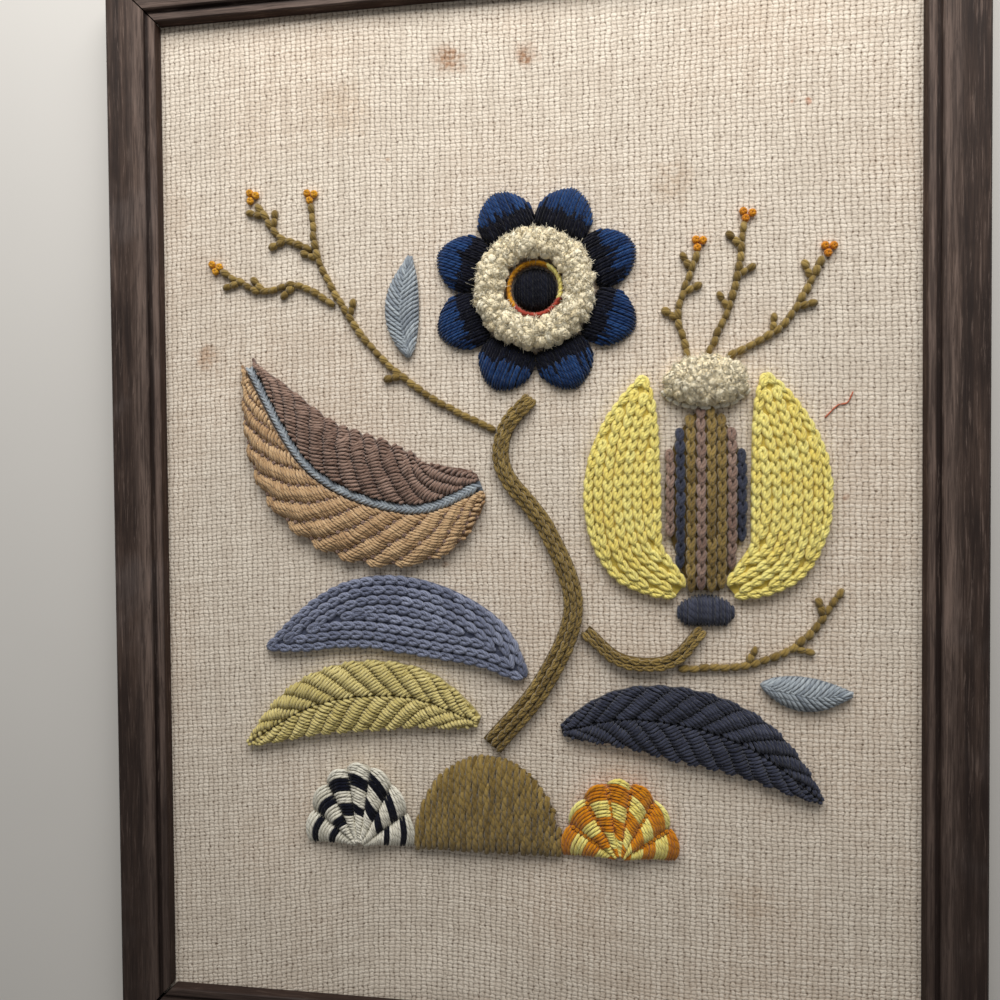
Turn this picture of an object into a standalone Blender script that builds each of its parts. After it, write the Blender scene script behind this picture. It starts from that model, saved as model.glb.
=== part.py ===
"""Crewel embroidery panel and its wooden frame, lying face up.

A coarse cloth carries raised wool stitching: three hillocks, a curving stem,
ribbed leaves, a round bloom, a fruit and forked sprigs.  Four mitred rails hold
the cloth in their rabbet.  Units are metres and +Z is up.  +Y is the picture's
top, and the origin is the middle of the frame's back.
"""

import math
from collections import namedtuple

import bmesh
import bpy
from mathutils import Matrix, Vector

MM = 0.001

# Frame: the sight opening is what shows of the cloth, and the rails lie outside it.
SIGHT_WIDTH = 293.0 * MM
SIGHT_HEIGHT = 394.0 * MM
RAIL_WIDTH = 21.0 * MM
FRAME_DEPTH = 16.0 * MM
RABBET_WIDTH = 6.0 * MM
LIP_UNDERSIDE = 10.5 * MM
INNER_BAND_WIDTH = 3.4 * MM
INNER_BAND_TOP = 15.0 * MM
GROOVE_WIDTH = 1.1 * MM
GROOVE_FLOOR = 14.2 * MM
ARRIS_EASE = 0.5 * MM

# Cloth: it lies in the rabbet, a little under the lip.
SEAT_GAP = 0.3 * MM
CLOTH_THICKNESS = 1.4 * MM
CLOTH_TOP = LIP_UNDERSIDE - SEAT_GAP
CLOTH_COLUMNS = 14
CLOTH_ROWS = 19
TAUT_MARGIN = 28.0 * MM

# Stitched pads: heights above the cloth.
PAD_EDGE = 0.9 * MM
RIB_DEPTH = 0.40
RIB_SCALLOP = 0.07
RIB_COLUMNS = 4
VEIN_HALF_WIDTH = 1.7 * MM
VEIN_RISE = 2.2 * MM
VEIN_CLEARANCE = 0.5 * MM
VEIN_START = 0.02
VEIN_SHARE = 0.94
LEAF_END_TRIM = 0.02
TWIG_RADIUS = 1.6 * MM
TWIG_STEP = 6.0 * MM
SPINE_SAMPLES = 20

# The bloom, worked outwards from its middle.  Its places are in millimetres.
BLOOM_CENTRE = (6.0, 84.0)
BOSS_RADIUS = 8.2 * MM
BOSS_RISE = 3.6 * MM
RING_SEGMENTS = 33
EYELINE_RADIUS = 10.0 * MM
EYELINE_HALF_WIDTH = 1.2 * MM
EYELINE_HEIGHT = 2.6 * MM
PILE_RADIUS = 17.1 * MM
PILE_HALF_WIDTH = 5.0 * MM
PILE_HEIGHT = 6.4 * MM
PETAL_COUNT = 8
PETAL_ROOT = 22.7
PETAL_TIP = 40.5
PETAL_HALF_WIDTH = 10.9
PETAL_THICKNESS = 3.2

Finish = namedtuple("Finish", "red green blue roughness")
FINISHES = {
    "dark_wood": Finish(0.080, 0.052, 0.038, 0.55),
    "natural_cloth": Finish(0.520, 0.440, 0.350, 0.95),
    "cream_wool": Finish(0.620, 0.560, 0.370, 0.95),
    "ivory_wool": Finish(0.560, 0.530, 0.420, 0.90),
    "navy_wool": Finish(0.006, 0.007, 0.011, 0.95),
    "gold_wool": Finish(0.560, 0.300, 0.030, 0.90),
    "yellow_wool": Finish(0.690, 0.560, 0.150, 0.90),
    "orange_wool": Finish(0.600, 0.240, 0.010, 0.90),
    "mauve_wool": Finish(0.200, 0.130, 0.095, 0.90),
    "tan_wool": Finish(0.300, 0.190, 0.105, 0.90),
    "olive_wool": Finish(0.130, 0.088, 0.030, 0.90),
    "pale_olive_wool": Finish(0.340, 0.285, 0.115, 0.90),
    "slate_wool": Finish(0.075, 0.090, 0.125, 0.90),
    "dark_slate_wool": Finish(0.027, 0.031, 0.046, 0.90),
    "steel_wool": Finish(0.230, 0.260, 0.280, 0.90),
}

# Gentle swellings of the cloth, in millimetres from the middle of the panel.
Pucker = namedtuple("Pucker", "x y radius height")
PUCKERS = (
    Pucker(-95, -150, 34, 0.7),
    Pucker(-40, -166, 30, -0.5),
    Pucker(22, -160, 32, 0.6),
    Pucker(96, -138, 36, 0.5),
    Pucker(-122, 20, 30, 0.5),
    Pucker(112, 150, 36, 0.6),
    Pucker(-30, 150, 40, -0.4),
    Pucker(10, 0, 95, 0.5),
)

# How a leaf's width runs along it: where on the sine it starts, its skew and its power.
Taper = namedtuple("Taper", "start skew power")
LEAF_TAPER = Taper(0.02, 0.80, 0.80)
WILLOW_TAPER = Taper(0.02, 0.95, 0.75)
PETAL_TAPER = Taper(0.24, 1.00, 0.55)
SEPAL_TAPER = Taper(0.06, 1.05, 0.70)
HEART_TAPER = Taper(0.10, 1.25, 0.62)
CUP_TAPER = Taper(0.20, 1.15, 0.50)

# Leaves and petals: a spine in millimetres, and sizes in millimetres.
Blade = namedtuple("Blade", "name finish taper half_width thickness columns rows spine")
BLADES = (
    Blade("leaf_slate", "slate_wool", WILLOW_TAPER, 15.0, 2.4, 20, 6,
          ((1, -65), (-20, -49), (-62, -41), (-104, -56))),
    Blade("leaf_steel_left", "steel_wool", WILLOW_TAPER, 6.8, 2.6, 12, 4,
          ((-44, 60), (-46.5, 79), (-43, 99))),
    Blade("leaf_steel_right", "steel_wool", WILLOW_TAPER, 6.4, 2.6, 12, 4,
          ((90, -66), (106, -69.5), (122, -69))),
    Blade("fruit_cup", "dark_slate_wool", CUP_TAPER, 10.5, 3.0, 6, 6,
          ((69.5, -44), (69.5, -33))),
    Blade("fruit_left", "yellow_wool", SEPAL_TAPER, 14.5, 3.0, 20, 5,
          ((60, -31), (42, -16), (39, 14), (47, 50))),
    Blade("fruit_right", "yellow_wool", SEPAL_TAPER, 14.5, 3.0, 20, 5,
          ((79, -31), (97, -16), (100, 14), (91, 50))),
    Blade("fruit_heart", "olive_wool", HEART_TAPER, 15.0, 3.6, 16, 6,
          ((69.5, -31), (69.5, 4), (69.5, 38))),
)

# Leaves worked in two halves of raised ribs, with or without a plaited vein between.
RibbedLeaf = namedtuple(
    "RibbedLeaf", "name left right vein taper half_width thickness ribs lean rows spine")
RIBBED_LEAVES = (
    RibbedLeaf("leaf_great", "tan_wool", "mauve_wool", "steel_wool", LEAF_TAPER,
               25.0, 4.6, 14, 2.4, 4, ((-13, 10), (-44, 0), (-84, 16), (-112, 62))),
    RibbedLeaf("leaf_olive", "pale_olive_wool", "pale_olive_wool", None, WILLOW_TAPER,
               14.0, 3.8, 13, 1.6, 3, ((-15, -84), (-46, -74), (-82, -78), (-114, -96))),
    RibbedLeaf("leaf_dark", "dark_slate_wool", "dark_slate_wool", None, WILLOW_TAPER,
               14.0, 3.8, 13, 1.6, 3, ((13, -86), (44, -80), (82, -88), (113, -110))),
)

# Hillocks at the foot: an upright mound and two shells of rays.
Hillock = namedtuple("Hillock", "name finish x base half_width height thickness rays")
MOUND = Hillock("hill_olive", "olive_wool", -14.0, -134.0, 29.0, 37.0, 3.4, 8)
SHELLS = (
    Hillock("hill_banded", "ivory_wool", -65.0, -134.0, 21.0, 32.0, 4.2, 7),
    Hillock("hill_gold", "orange_wool", 37.0, -134.0, 21.0, 30.0, 4.2, 7),
)
SHELL_HOLLOW = 0.08
SHELL_SCALLOP = 0.05
SHELL_RAY_DEPTH = 0.35
MOUND_ROLL_DEPTH = 0.12
MOUND_FOOT = 0.06

# Stems: flat bands of chain rows, in millimetres.
Stem = namedtuple("Stem", "name foot_half_width tip_half_width thickness columns spine")
STEMS = (
    Stem("stem_main", 4.4, 2.8, 3.0, 32,
         ((-12, -92.5), (8, -68), (20, -38), (10, -8), (-6, 14), (-6, 30), (4, 42.5))),
    Stem("stem_fruit", 2.6, 2.2, 2.6, 14,
         ((24.5, -47), (38, -58), (56, -58), (68, -46))),
)

# Sprigs of single chain rows, in millimetres.
Twig = namedtuple("Twig", "name spine")
TWIGS = (
    Twig("twig_left_long", ((-11, 31), (-36, 44), (-62, 68), (-80, 98), (-83, 122))),
    Twig("twig_left_low", ((-75.5, 82), (-90, 90), (-106, 88), (-121, 97))),
    Twig("twig_left_high", ((-84.5, 104), (-97, 110), (-106, 123))),
    Twig("twig_crown_left", ((63, 57.5), (60, 74), (67, 96))),
    Twig("twig_crown_middle", ((71, 58.5), (80, 80), (84, 106))),
    Twig("twig_crown_right", ((79, 57), (98, 68), (112, 92))),
    Twig("twig_low", ((61, -61), (84, -59), (104, -50), (119, -30))),
)
TUFT_CENTRE = (69.5, 47.5)
TUFT_HALF_WIDTH = 15.5 * MM
TUFT_HALF_HEIGHT = 8.8 * MM
TUFT_RISE = 6.0 * MM
DOME_SKIRT = 0.15


def make_collection(name):
    """A new collection linked to the scene."""
    collection = bpy.data.collections.new(name)
    bpy.context.scene.collection.children.link(collection)
    return collection


def clear_scene():
    """Remove every object that the start file holds."""
    for item in list(bpy.data.objects):
        bpy.data.objects.remove(item, do_unlink=True)


def material(name):
    """The Principled material for one finish, made once."""
    found = bpy.data.materials.get(name)
    if found:
        return found
    finish = FINISHES[name]
    made = bpy.data.materials.new(name)
    made.use_nodes = True
    shader = made.node_tree.nodes["Principled BSDF"]
    shader.inputs["Base Color"].default_value = (finish.red, finish.green, finish.blue, 1.0)
    shader.inputs["Roughness"].default_value = finish.roughness
    shader.inputs["Metallic"].default_value = 0.0
    return made


def add_object(collection, name, data, finish):
    """Link a mesh or curve as one named object in its finish."""
    item = bpy.data.objects.new(name, data)
    data.materials.clear()
    data.materials.append(material(finish))
    collection.objects.link(item)
    return item


def smoothstep(low, high, value):
    """0 below low, 1 above high, and a soft rise between."""
    share = min(1.0, max(0.0, (value - low) / (high - low)))
    return share * share * (3.0 - 2.0 * share)


def ground(x, y):
    """How far the cloth swells above its rim at a place, flat under the lip."""
    inset = min(SIGHT_WIDTH / 2.0 - abs(x), SIGHT_HEIGHT / 2.0 - abs(y))
    swell = 0.0
    for pucker in PUCKERS:
        reach = math.hypot(x - pucker.x * MM, y - pucker.y * MM) / (pucker.radius * MM)
        swell += pucker.height * MM * math.exp(-reach * reach)
    return swell * smoothstep(0.0, TAUT_MARGIN, inset)


class Spine:
    """A smooth line through a few points, read by the share of its length."""

    def __init__(self, points_mm):
        knots = [Vector((x * MM, y * MM)) for x, y in points_mm]
        knots = [2 * knots[0] - knots[1]] + knots + [2 * knots[-1] - knots[-2]]
        self.samples = [knots[1]]
        for index in range(1, len(knots) - 2):
            before, start, end, after = knots[index - 1:index + 3]
            for step in range(1, SPINE_SAMPLES + 1):
                t = step / SPINE_SAMPLES
                self.samples.append(0.5 * (
                    2 * start + (end - before) * t
                    + (2 * before - 5 * start + 4 * end - after) * t * t
                    + (3 * start - before - 3 * end + after) * t * t * t))
        self.runs = [0.0]
        for start, end in zip(self.samples, self.samples[1:]):
            self.runs.append(self.runs[-1] + (end - start).length)
        self.length = self.runs[-1]

    def at(self, share):
        """The point at a share of the length, and the unit direction to its left."""
        run = min(max(share, 0.0), 1.0) * self.length
        index = 0
        while index < len(self.runs) - 2 and self.runs[index + 1] < run:
            index += 1
        start, end = self.samples[index], self.samples[index + 1]
        step = (run - self.runs[index]) / (self.runs[index + 1] - self.runs[index])
        along = (end - start).normalized()
        return start.lerp(end, step), Vector((-along.y, along.x))


def taper_width(taper, u):
    """The share of the half width that a blade has at u along it."""
    phase = taper.start + (1.0 - taper.start) * u
    return max(0.0, math.sin(math.pi * phase ** taper.skew)) ** taper.power


def crown(share, fullness=0.55):
    """A pillow's rise from 0 at both edges to 1 in the middle."""
    return max(0.0, 1.0 - abs(2.0 * share - 1.0) ** 2.4) ** fullness


def rib(phase, depth):
    """A row of rolls: 1 on each ridge, and 1 - depth in the valleys."""
    return 1.0 - depth * (1.0 - abs(math.cos(math.pi * phase)) ** 0.8)


def pad_floor(place, columns, rows):
    """The flat underside's height: just clear of the cloth all over the pad."""
    highest = 0.0
    for column in range(columns + 1):
        for row in range(rows + 1):
            x, y = place(column / columns, row / rows)
            highest = max(highest, ground(x, y))
    return CLOTH_TOP + highest + SEAT_GAP


def add_pad(collection, name, finish, place, relief, columns, rows):
    """A closed pad: a grid laid by place and raised by relief, on a flat underside."""
    floor = pad_floor(place, columns, rows)
    shape = bmesh.new()
    bmesh.ops.create_grid(shape, x_segments=columns, y_segments=rows, size=0.5)
    for vert in shape.verts:
        u, t = vert.co.x + 0.5, vert.co.y + 0.5
        x, y = place(u, t)
        vert.co = (x, y, floor + PAD_EDGE + relief(u, t))
    rim = [edge for edge in shape.edges if edge.is_boundary]
    walls = bmesh.ops.extrude_edge_only(shape, edges=rim)["geom"]
    for item in walls:
        if isinstance(item, bmesh.types.BMVert):
            item.co.z = floor
    base = [edge for edge in shape.edges if edge.is_boundary]
    bmesh.ops.edgeloop_fill(shape, edges=base)
    bmesh.ops.recalc_face_normals(shape, faces=shape.faces)
    mesh = bpy.data.meshes.new(name)
    shape.to_mesh(mesh)
    shape.free()
    add_object(collection, name, mesh, finish)


def rail_profile():
    """The moulding's section: metres outward from the sight edge, and height."""
    groove_start = INNER_BAND_WIDTH
    band_start = groove_start + GROOVE_WIDTH
    return (
        (0.0, LIP_UNDERSIDE),
        (0.0, INNER_BAND_TOP - ARRIS_EASE),
        (ARRIS_EASE, INNER_BAND_TOP),
        (groove_start - ARRIS_EASE, INNER_BAND_TOP),
        (groove_start, GROOVE_FLOOR),
        (band_start, GROOVE_FLOOR),
        (band_start, FRAME_DEPTH - ARRIS_EASE),
        (band_start + ARRIS_EASE, FRAME_DEPTH),
        (RAIL_WIDTH - 2 * ARRIS_EASE, FRAME_DEPTH),
        (RAIL_WIDTH, FRAME_DEPTH - 2 * ARRIS_EASE),
        (RAIL_WIDTH, 0.0),
        (RABBET_WIDTH, 0.0),
        (RABBET_WIDTH, LIP_UNDERSIDE),
    )


def profile_prism(name, half_length):
    """The moulding's section filled and drawn out both ways, as a closed mesh."""
    curve = bpy.data.curves.new(name + "_section", "CURVE")
    curve.dimensions = "2D"
    curve.fill_mode = "BOTH"
    curve.extrude = half_length
    outline = rail_profile()
    spline = curve.splines.new("POLY")
    spline.points.add(len(outline) - 1)
    for point, (outward, height) in zip(spline.points, outline):
        point.co = (outward, height, 0.0, 1.0)
    spline.use_cyclic_u = True
    drawn = bpy.data.objects.new(name + "_section", curve)
    bpy.context.scene.collection.objects.link(drawn)
    graph = bpy.context.evaluated_depsgraph_get()
    mesh = bpy.data.meshes.new_from_object(drawn.evaluated_get(graph))
    bpy.data.objects.remove(drawn, do_unlink=True)
    return mesh


def mitre(shape, plane_point, plane_normal):
    """Cut a rail's end off at a slant and close the cut."""
    geometry = list(shape.verts) + list(shape.edges) + list(shape.faces)
    bmesh.ops.bisect_plane(shape, geom=geometry, dist=1e-7, plane_co=plane_point,
                           plane_no=plane_normal, clear_outer=True)
    bmesh.ops.holes_fill(shape, edges=[edge for edge in shape.edges if edge.is_boundary])


def add_rail(collection, name, sight_length, sight_offset, turn, start_gap, end_gap):
    """One mitred rail; start_gap and end_gap are how open its two mitres stand."""
    mesh = profile_prism(name, sight_length / 2.0 + 2 * RAIL_WIDTH)
    shape = bmesh.new()
    shape.from_mesh(mesh)
    bmesh.ops.remove_doubles(shape, verts=shape.verts, dist=1e-6)
    lay_down = Matrix(((0, 0, 1), (1, 0, 0), (0, 1, 0))).to_4x4()
    bmesh.ops.transform(shape, matrix=lay_down, verts=shape.verts)
    start = -sight_length / 2.0 + start_gap / math.sqrt(2.0)
    end = sight_length / 2.0 - end_gap / math.sqrt(2.0)
    mitre(shape, (start, 0.0, 0.0), (-1.0, -1.0, 0.0))
    mitre(shape, (end, 0.0, 0.0), (1.0, -1.0, 0.0))
    bmesh.ops.recalc_face_normals(shape, faces=shape.faces)
    shape.to_mesh(mesh)
    shape.free()
    rail = add_object(collection, name, mesh, "dark_wood")
    rail.matrix_world = Matrix.Rotation(turn, 4, "Z") @ Matrix.Translation((0, sight_offset, 0))


def build_frame(collection):
    """Four rails round the sight opening, with mitres that have opened unevenly."""
    gap_top_left, gap_top_right = 0.5 * MM, 0.4 * MM
    gap_low_left, gap_low_right = 1.2 * MM, 0.6 * MM
    half_width, half_height = SIGHT_WIDTH / 2.0, SIGHT_HEIGHT / 2.0
    quarter = math.pi / 2.0
    add_rail(collection, "rail_top", SIGHT_WIDTH, half_height, 0.0,
             gap_top_left, gap_top_right)
    add_rail(collection, "rail_left", SIGHT_HEIGHT, half_width, quarter,
             gap_low_left, gap_top_left)
    add_rail(collection, "rail_bottom", SIGHT_WIDTH, half_height, 2 * quarter,
             gap_low_right, gap_low_left)
    add_rail(collection, "rail_right", SIGHT_HEIGHT, half_width, 3 * quarter,
             gap_top_right, gap_low_right)


def build_cloth(collection):
    """The ground cloth: one sheet, gently uneven, seated in the rabbet."""
    width = SIGHT_WIDTH + 2 * (RABBET_WIDTH - SEAT_GAP)
    height = SIGHT_HEIGHT + 2 * (RABBET_WIDTH - SEAT_GAP)
    shape = bmesh.new()
    bmesh.ops.create_grid(shape, x_segments=CLOTH_COLUMNS, y_segments=CLOTH_ROWS, size=0.5)
    for vert in shape.verts:
        x, y = vert.co.x * width, vert.co.y * height
        vert.co = (x, y, CLOTH_TOP + ground(x, y))
    mesh = bpy.data.meshes.new("cloth")
    shape.to_mesh(mesh)
    shape.free()
    cloth = add_object(collection, "cloth", mesh, "natural_cloth")
    body = cloth.modifiers.new("body", "SOLIDIFY")
    body.thickness = CLOTH_THICKNESS
    body.offset = -1.0


def build_mound(collection):
    """The middle hillock: upright rows that end on its round outline."""
    half_width, height = MOUND.half_width * MM, MOUND.height * MM

    def place(u, t):
        across = 2.0 * t - 1.0
        rise = max(MOUND_FOOT, math.sqrt(max(0.0, 1.0 - across * across)))
        return MOUND.x * MM + across * half_width, MOUND.base * MM + u * rise * height

    def relief(u, t):
        rolls = rib(MOUND.rays * t, MOUND_ROLL_DEPTH)
        return MOUND.thickness * MM * crown(u) * crown(t) * rolls

    add_pad(collection, MOUND.name, MOUND.finish, place, relief, 10, 2 * MOUND.rays)


def build_shell(collection, hillock):
    """A side hillock: raised rays that spread from the middle of its foot."""
    def place(u, t):
        reach = SHELL_HOLLOW + (1.0 - SHELL_HOLLOW) * u
        ridge = abs(math.cos(math.pi * hillock.rays * (t - 0.5)))
        reach *= 1.0 + SHELL_SCALLOP * (ridge - 1.0) * u
        angle = math.pi * t
        return (hillock.x * MM + reach * hillock.half_width * MM * math.cos(angle),
                hillock.base * MM + reach * hillock.height * MM * math.sin(angle))

    def relief(u, t):
        rays = rib(hillock.rays * (t - 0.5), SHELL_RAY_DEPTH)
        return hillock.thickness * MM * crown(0.5 * u + 0.25 * (1 - u)) * crown(t) * rays

    add_pad(collection, hillock.name, hillock.finish, place, relief, 6, 4 * hillock.rays)


def add_blade(collection, blade):
    """A leaf or petal worked all over in one pad."""
    spine = Spine(blade.spine)

    def place(u, t):
        point, left = spine.at(u)
        width = max(PAD_EDGE, blade.half_width * MM * taper_width(blade.taper, u))
        spot = point + left * width * (2.0 * t - 1.0)
        return spot.x, spot.y

    def relief(u, t):
        return (blade.thickness * MM - PAD_EDGE) * crown(u, 0.4) * crown(t)

    add_pad(collection, blade.name, blade.finish, place, relief, blade.columns, blade.rows)


def add_half_leaf(collection, leaf, spine, side, finish):
    """One half of a ribbed leaf; side is 1 for its left half and -1 for its right."""
    inner = VEIN_CLEARANCE / 2.0
    if leaf.vein:
        inner = VEIN_HALF_WIDTH + VEIN_CLEARANCE
    name = leaf.name + ("_left" if side > 0 else "_right")

    def phase(u, t):
        return leaf.ribs * u - leaf.lean * t

    def place(u, t):
        point, left = spine.at(LEAF_END_TRIM + (1.0 - 2.0 * LEAF_END_TRIM) * u)
        full = leaf.half_width * MM * taper_width(leaf.taper, u)
        lobe = 1.0 - RIB_SCALLOP * (1.0 - abs(math.cos(math.pi * phase(u, 1.0))))
        outer = max(inner + PAD_EDGE, full * lobe)
        spot = point + left * side * (inner + (outer - inner) * t)
        return spot.x, spot.y

    def relief(u, t):
        rise = crown(u, 0.35) * crown(0.12 + 0.84 * t)
        return (leaf.thickness * MM - PAD_EDGE) * rise * rib(phase(u, t), RIB_DEPTH)

    add_pad(collection, name, finish, place, relief, RIB_COLUMNS * leaf.ribs, leaf.rows)


def add_vein(collection, leaf, spine):
    """The plaited vein between the halves of a ribbed leaf."""
    def place(u, t):
        point, left = spine.at(VEIN_START + VEIN_SHARE * u)
        spot = point + left * VEIN_HALF_WIDTH * (1.15 - 0.5 * u) * (2.0 * t - 1.0)
        return spot.x, spot.y

    def relief(u, t):
        return VEIN_RISE * crown(u, 0.3) * crown(t)

    add_pad(collection, leaf.name + "_vein", leaf.vein, place, relief, 24, 3)


def build_leaves(collection):
    """All leaves and the fruit: plain blades, then the ribbed leaves by halves."""
    for blade in BLADES:
        add_blade(collection, blade)
    for leaf in RIBBED_LEAVES:
        spine = Spine(leaf.spine)
        add_half_leaf(collection, leaf, spine, 1, leaf.left)
        add_half_leaf(collection, leaf, spine, -1, leaf.right)
        if leaf.vein:
            add_vein(collection, leaf, spine)


def build_stems(collection):
    """The flat stems, narrower towards their tips."""
    for stem in STEMS:
        spine = Spine(stem.spine)

        def place(u, t):
            point, left = spine.at(u)
            width = stem.foot_half_width + (stem.tip_half_width - stem.foot_half_width) * u
            spot = point + left * width * MM * (2.0 * t - 1.0)
            return spot.x, spot.y

        def relief(u, t):
            return (stem.thickness * MM - PAD_EDGE) * crown(u, 0.2) * crown(t)

        add_pad(collection, stem.name, "olive_wool", place, relief, stem.columns, 4)


def build_twigs(collection):
    """Sprigs: round cords of chain stitch lying on the cloth."""
    for twig in TWIGS:
        spine = Spine(twig.spine)
        count = max(4, round(spine.length / TWIG_STEP))
        curve = bpy.data.curves.new(twig.name, "CURVE")
        curve.dimensions = "3D"
        curve.bevel_depth = TWIG_RADIUS
        curve.bevel_resolution = 2
        curve.use_fill_caps = True
        spline = curve.splines.new("POLY")
        spline.points.add(count)
        for index, point in enumerate(spline.points):
            spot, _ = spine.at(index / count)
            height = CLOTH_TOP + ground(spot.x, spot.y) + SEAT_GAP + TWIG_RADIUS
            point.co = (spot.x, spot.y, height, 1.0)
        add_object(collection, twig.name, curve, "olive_wool")


def lump(angle):
    """A soft unevenness round the ring of pile."""
    return 1.0 + 0.07 * math.sin(11 * angle + 0.8) + 0.04 * math.sin(5 * angle - 0.8)


def add_ring(collection, name, finish, radius, half_width, height, sides, lumpy):
    """A flattened ring round the bloom's middle, uneven if it is lumpy."""
    centre_x, centre_y = BLOOM_CENTRE[0] * MM, BLOOM_CENTRE[1] * MM
    floor = CLOTH_TOP + ground(centre_x, centre_y) + SEAT_GAP
    bpy.ops.mesh.primitive_torus_add(
        major_segments=RING_SEGMENTS, minor_segments=sides,
        major_radius=radius, minor_radius=half_width)
    ring = bpy.context.active_object
    mesh = ring.data
    bpy.data.objects.remove(ring, do_unlink=True)
    for vert in mesh.vertices:
        angle = math.atan2(vert.co.y, vert.co.x)
        rise = (vert.co.z / half_width + 1.0) * 0.5 * height
        if lumpy:
            rise *= lump(angle)
        vert.co = (centre_x + vert.co.x, centre_y + vert.co.y, floor + max(rise, 0.0))
    add_object(collection, name, mesh, finish)


def add_dome(collection, name, finish, centre_mm, half_width, half_height, rise):
    """A low rounded pad with a flat underside."""
    centre_x, centre_y = centre_mm[0] * MM, centre_mm[1] * MM
    floor = CLOTH_TOP + ground(centre_x, centre_y) + SEAT_GAP
    shape = bmesh.new()
    bmesh.ops.create_uvsphere(shape, u_segments=16, v_segments=9, radius=1.0)
    for vert in shape.verts:
        flat = vert.co.copy()
        height = max(flat.z + DOME_SKIRT, 0.0) / (1.0 + DOME_SKIRT)
        vert.co = (centre_x + flat.x * half_width, centre_y + flat.y * half_height,
                   floor + height * rise)
    mesh = bpy.data.meshes.new(name)
    shape.to_mesh(mesh)
    shape.free()
    add_object(collection, name, mesh, finish)


def build_bloom(collection):
    """The round bloom: a boss, a fine ring, a ring of cut pile and eight petals."""
    add_dome(collection, "bloom_boss", "navy_wool", BLOOM_CENTRE,
             BOSS_RADIUS, BOSS_RADIUS, BOSS_RISE)
    add_ring(collection, "bloom_eyeline", "gold_wool", EYELINE_RADIUS, EYELINE_HALF_WIDTH,
             EYELINE_HEIGHT, 5, False)
    add_ring(collection, "bloom_pile", "cream_wool", PILE_RADIUS, PILE_HALF_WIDTH,
             PILE_HEIGHT, 7, True)
    for index in range(PETAL_COUNT):
        angle = 2.0 * math.pi * (index + 0.5) / PETAL_COUNT
        spine = [(BLOOM_CENTRE[0] + reach * math.cos(angle),
                  BLOOM_CENTRE[1] + reach * math.sin(angle)) for reach in (PETAL_ROOT, PETAL_TIP)]
        add_blade(collection, Blade(f"bloom_petal_{index + 1}", "navy_wool", PETAL_TAPER,
                                    PETAL_HALF_WIDTH, PETAL_THICKNESS, 10, 8, spine))


def build_panel():
    """Everything, in one collection."""
    clear_scene()
    collection = make_collection("crewel_embroidery_panel")
    build_frame(collection)
    build_cloth(collection)
    build_mound(collection)
    for hillock in SHELLS:
        build_shell(collection, hillock)
    build_stems(collection)
    build_leaves(collection)
    build_twigs(collection)
    build_bloom(collection)
    add_dome(collection, "fruit_tuft", "cream_wool", TUFT_CENTRE,
             TUFT_HALF_WIDTH, TUFT_HALF_HEIGHT, TUFT_RISE)


build_panel()
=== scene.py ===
"""The looks of a framed crewel embroidery panel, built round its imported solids.

The cloth's weave, the worn wood and every wool stitch are made here.  Units are
metres and +Z is up.  The panel lies face up, and +Y is the picture's top.
"""

import logging
import math
from collections.abc import Sequence
from dataclasses import dataclass, field
from enum import Enum

import bmesh
import bpy
import numpy as np
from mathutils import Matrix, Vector
from mathutils.bvhtree import BVHTree


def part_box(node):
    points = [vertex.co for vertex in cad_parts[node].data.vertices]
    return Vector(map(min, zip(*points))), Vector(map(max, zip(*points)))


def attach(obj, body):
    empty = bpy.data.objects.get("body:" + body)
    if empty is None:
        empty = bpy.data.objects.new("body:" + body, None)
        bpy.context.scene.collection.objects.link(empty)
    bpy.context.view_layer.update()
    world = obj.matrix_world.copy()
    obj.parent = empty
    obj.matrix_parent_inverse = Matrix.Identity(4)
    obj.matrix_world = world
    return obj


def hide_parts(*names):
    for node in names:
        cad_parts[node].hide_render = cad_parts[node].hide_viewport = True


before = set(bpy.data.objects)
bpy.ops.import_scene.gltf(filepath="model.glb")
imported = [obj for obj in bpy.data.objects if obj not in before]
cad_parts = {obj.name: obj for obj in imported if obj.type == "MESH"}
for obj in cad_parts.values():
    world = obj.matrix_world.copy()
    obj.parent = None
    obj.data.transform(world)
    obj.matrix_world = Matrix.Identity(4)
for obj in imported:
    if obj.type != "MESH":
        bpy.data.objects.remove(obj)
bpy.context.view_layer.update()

LOG = logging.getLogger("crewel_panel")
MM = 0.001
ROOT = "root"

SIGHT_WIDTH = 293.0 * MM
SIGHT_HEIGHT = 394.0 * MM
RABBET_WIDTH = 6.0 * MM
SEAT_GAP = 0.3 * MM
CLOTH_TOP = 10.2 * MM
PAD_EDGE = 0.9 * MM
TAUT_MARGIN = 28.0 * MM
PLY = 1.4 * MM
HAND = 0.08 * MM
FULL_TURN = 2.0 * math.pi
GOLDEN = 0.6180340

Array = np.ndarray
Rgb = tuple[float, float, float]
Point = tuple[float, float]


def linear(red: int, green: int, blue: int) -> Rgb:
    """Turn a colour in display steps of 0 to 255 into linear light.

    Args:
        red: Red step.
        green: Green step.
        blue: Blue step.

    Returns:
        The linear red, green and blue.
    """
    def lift(step: int) -> float:
        """One channel in linear light."""
        share = step / 255.0
        return share / 12.92 if share <= 0.04045 else ((share + 0.055) / 1.055) ** 2.4

    return lift(red), lift(green), lift(blue)


def smoothstep(low: float, high: float, value: Array) -> Array:
    """Rise softly from 0 at low to 1 at high.

    Args:
        low: Where the rise starts.
        high: Where it ends.
        value: The numbers to read.

    Returns:
        The risen shares.
    """
    share = np.clip((value - low) / (high - low), 0.0, 1.0)
    return share * share * (3.0 - 2.0 * share)


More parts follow.
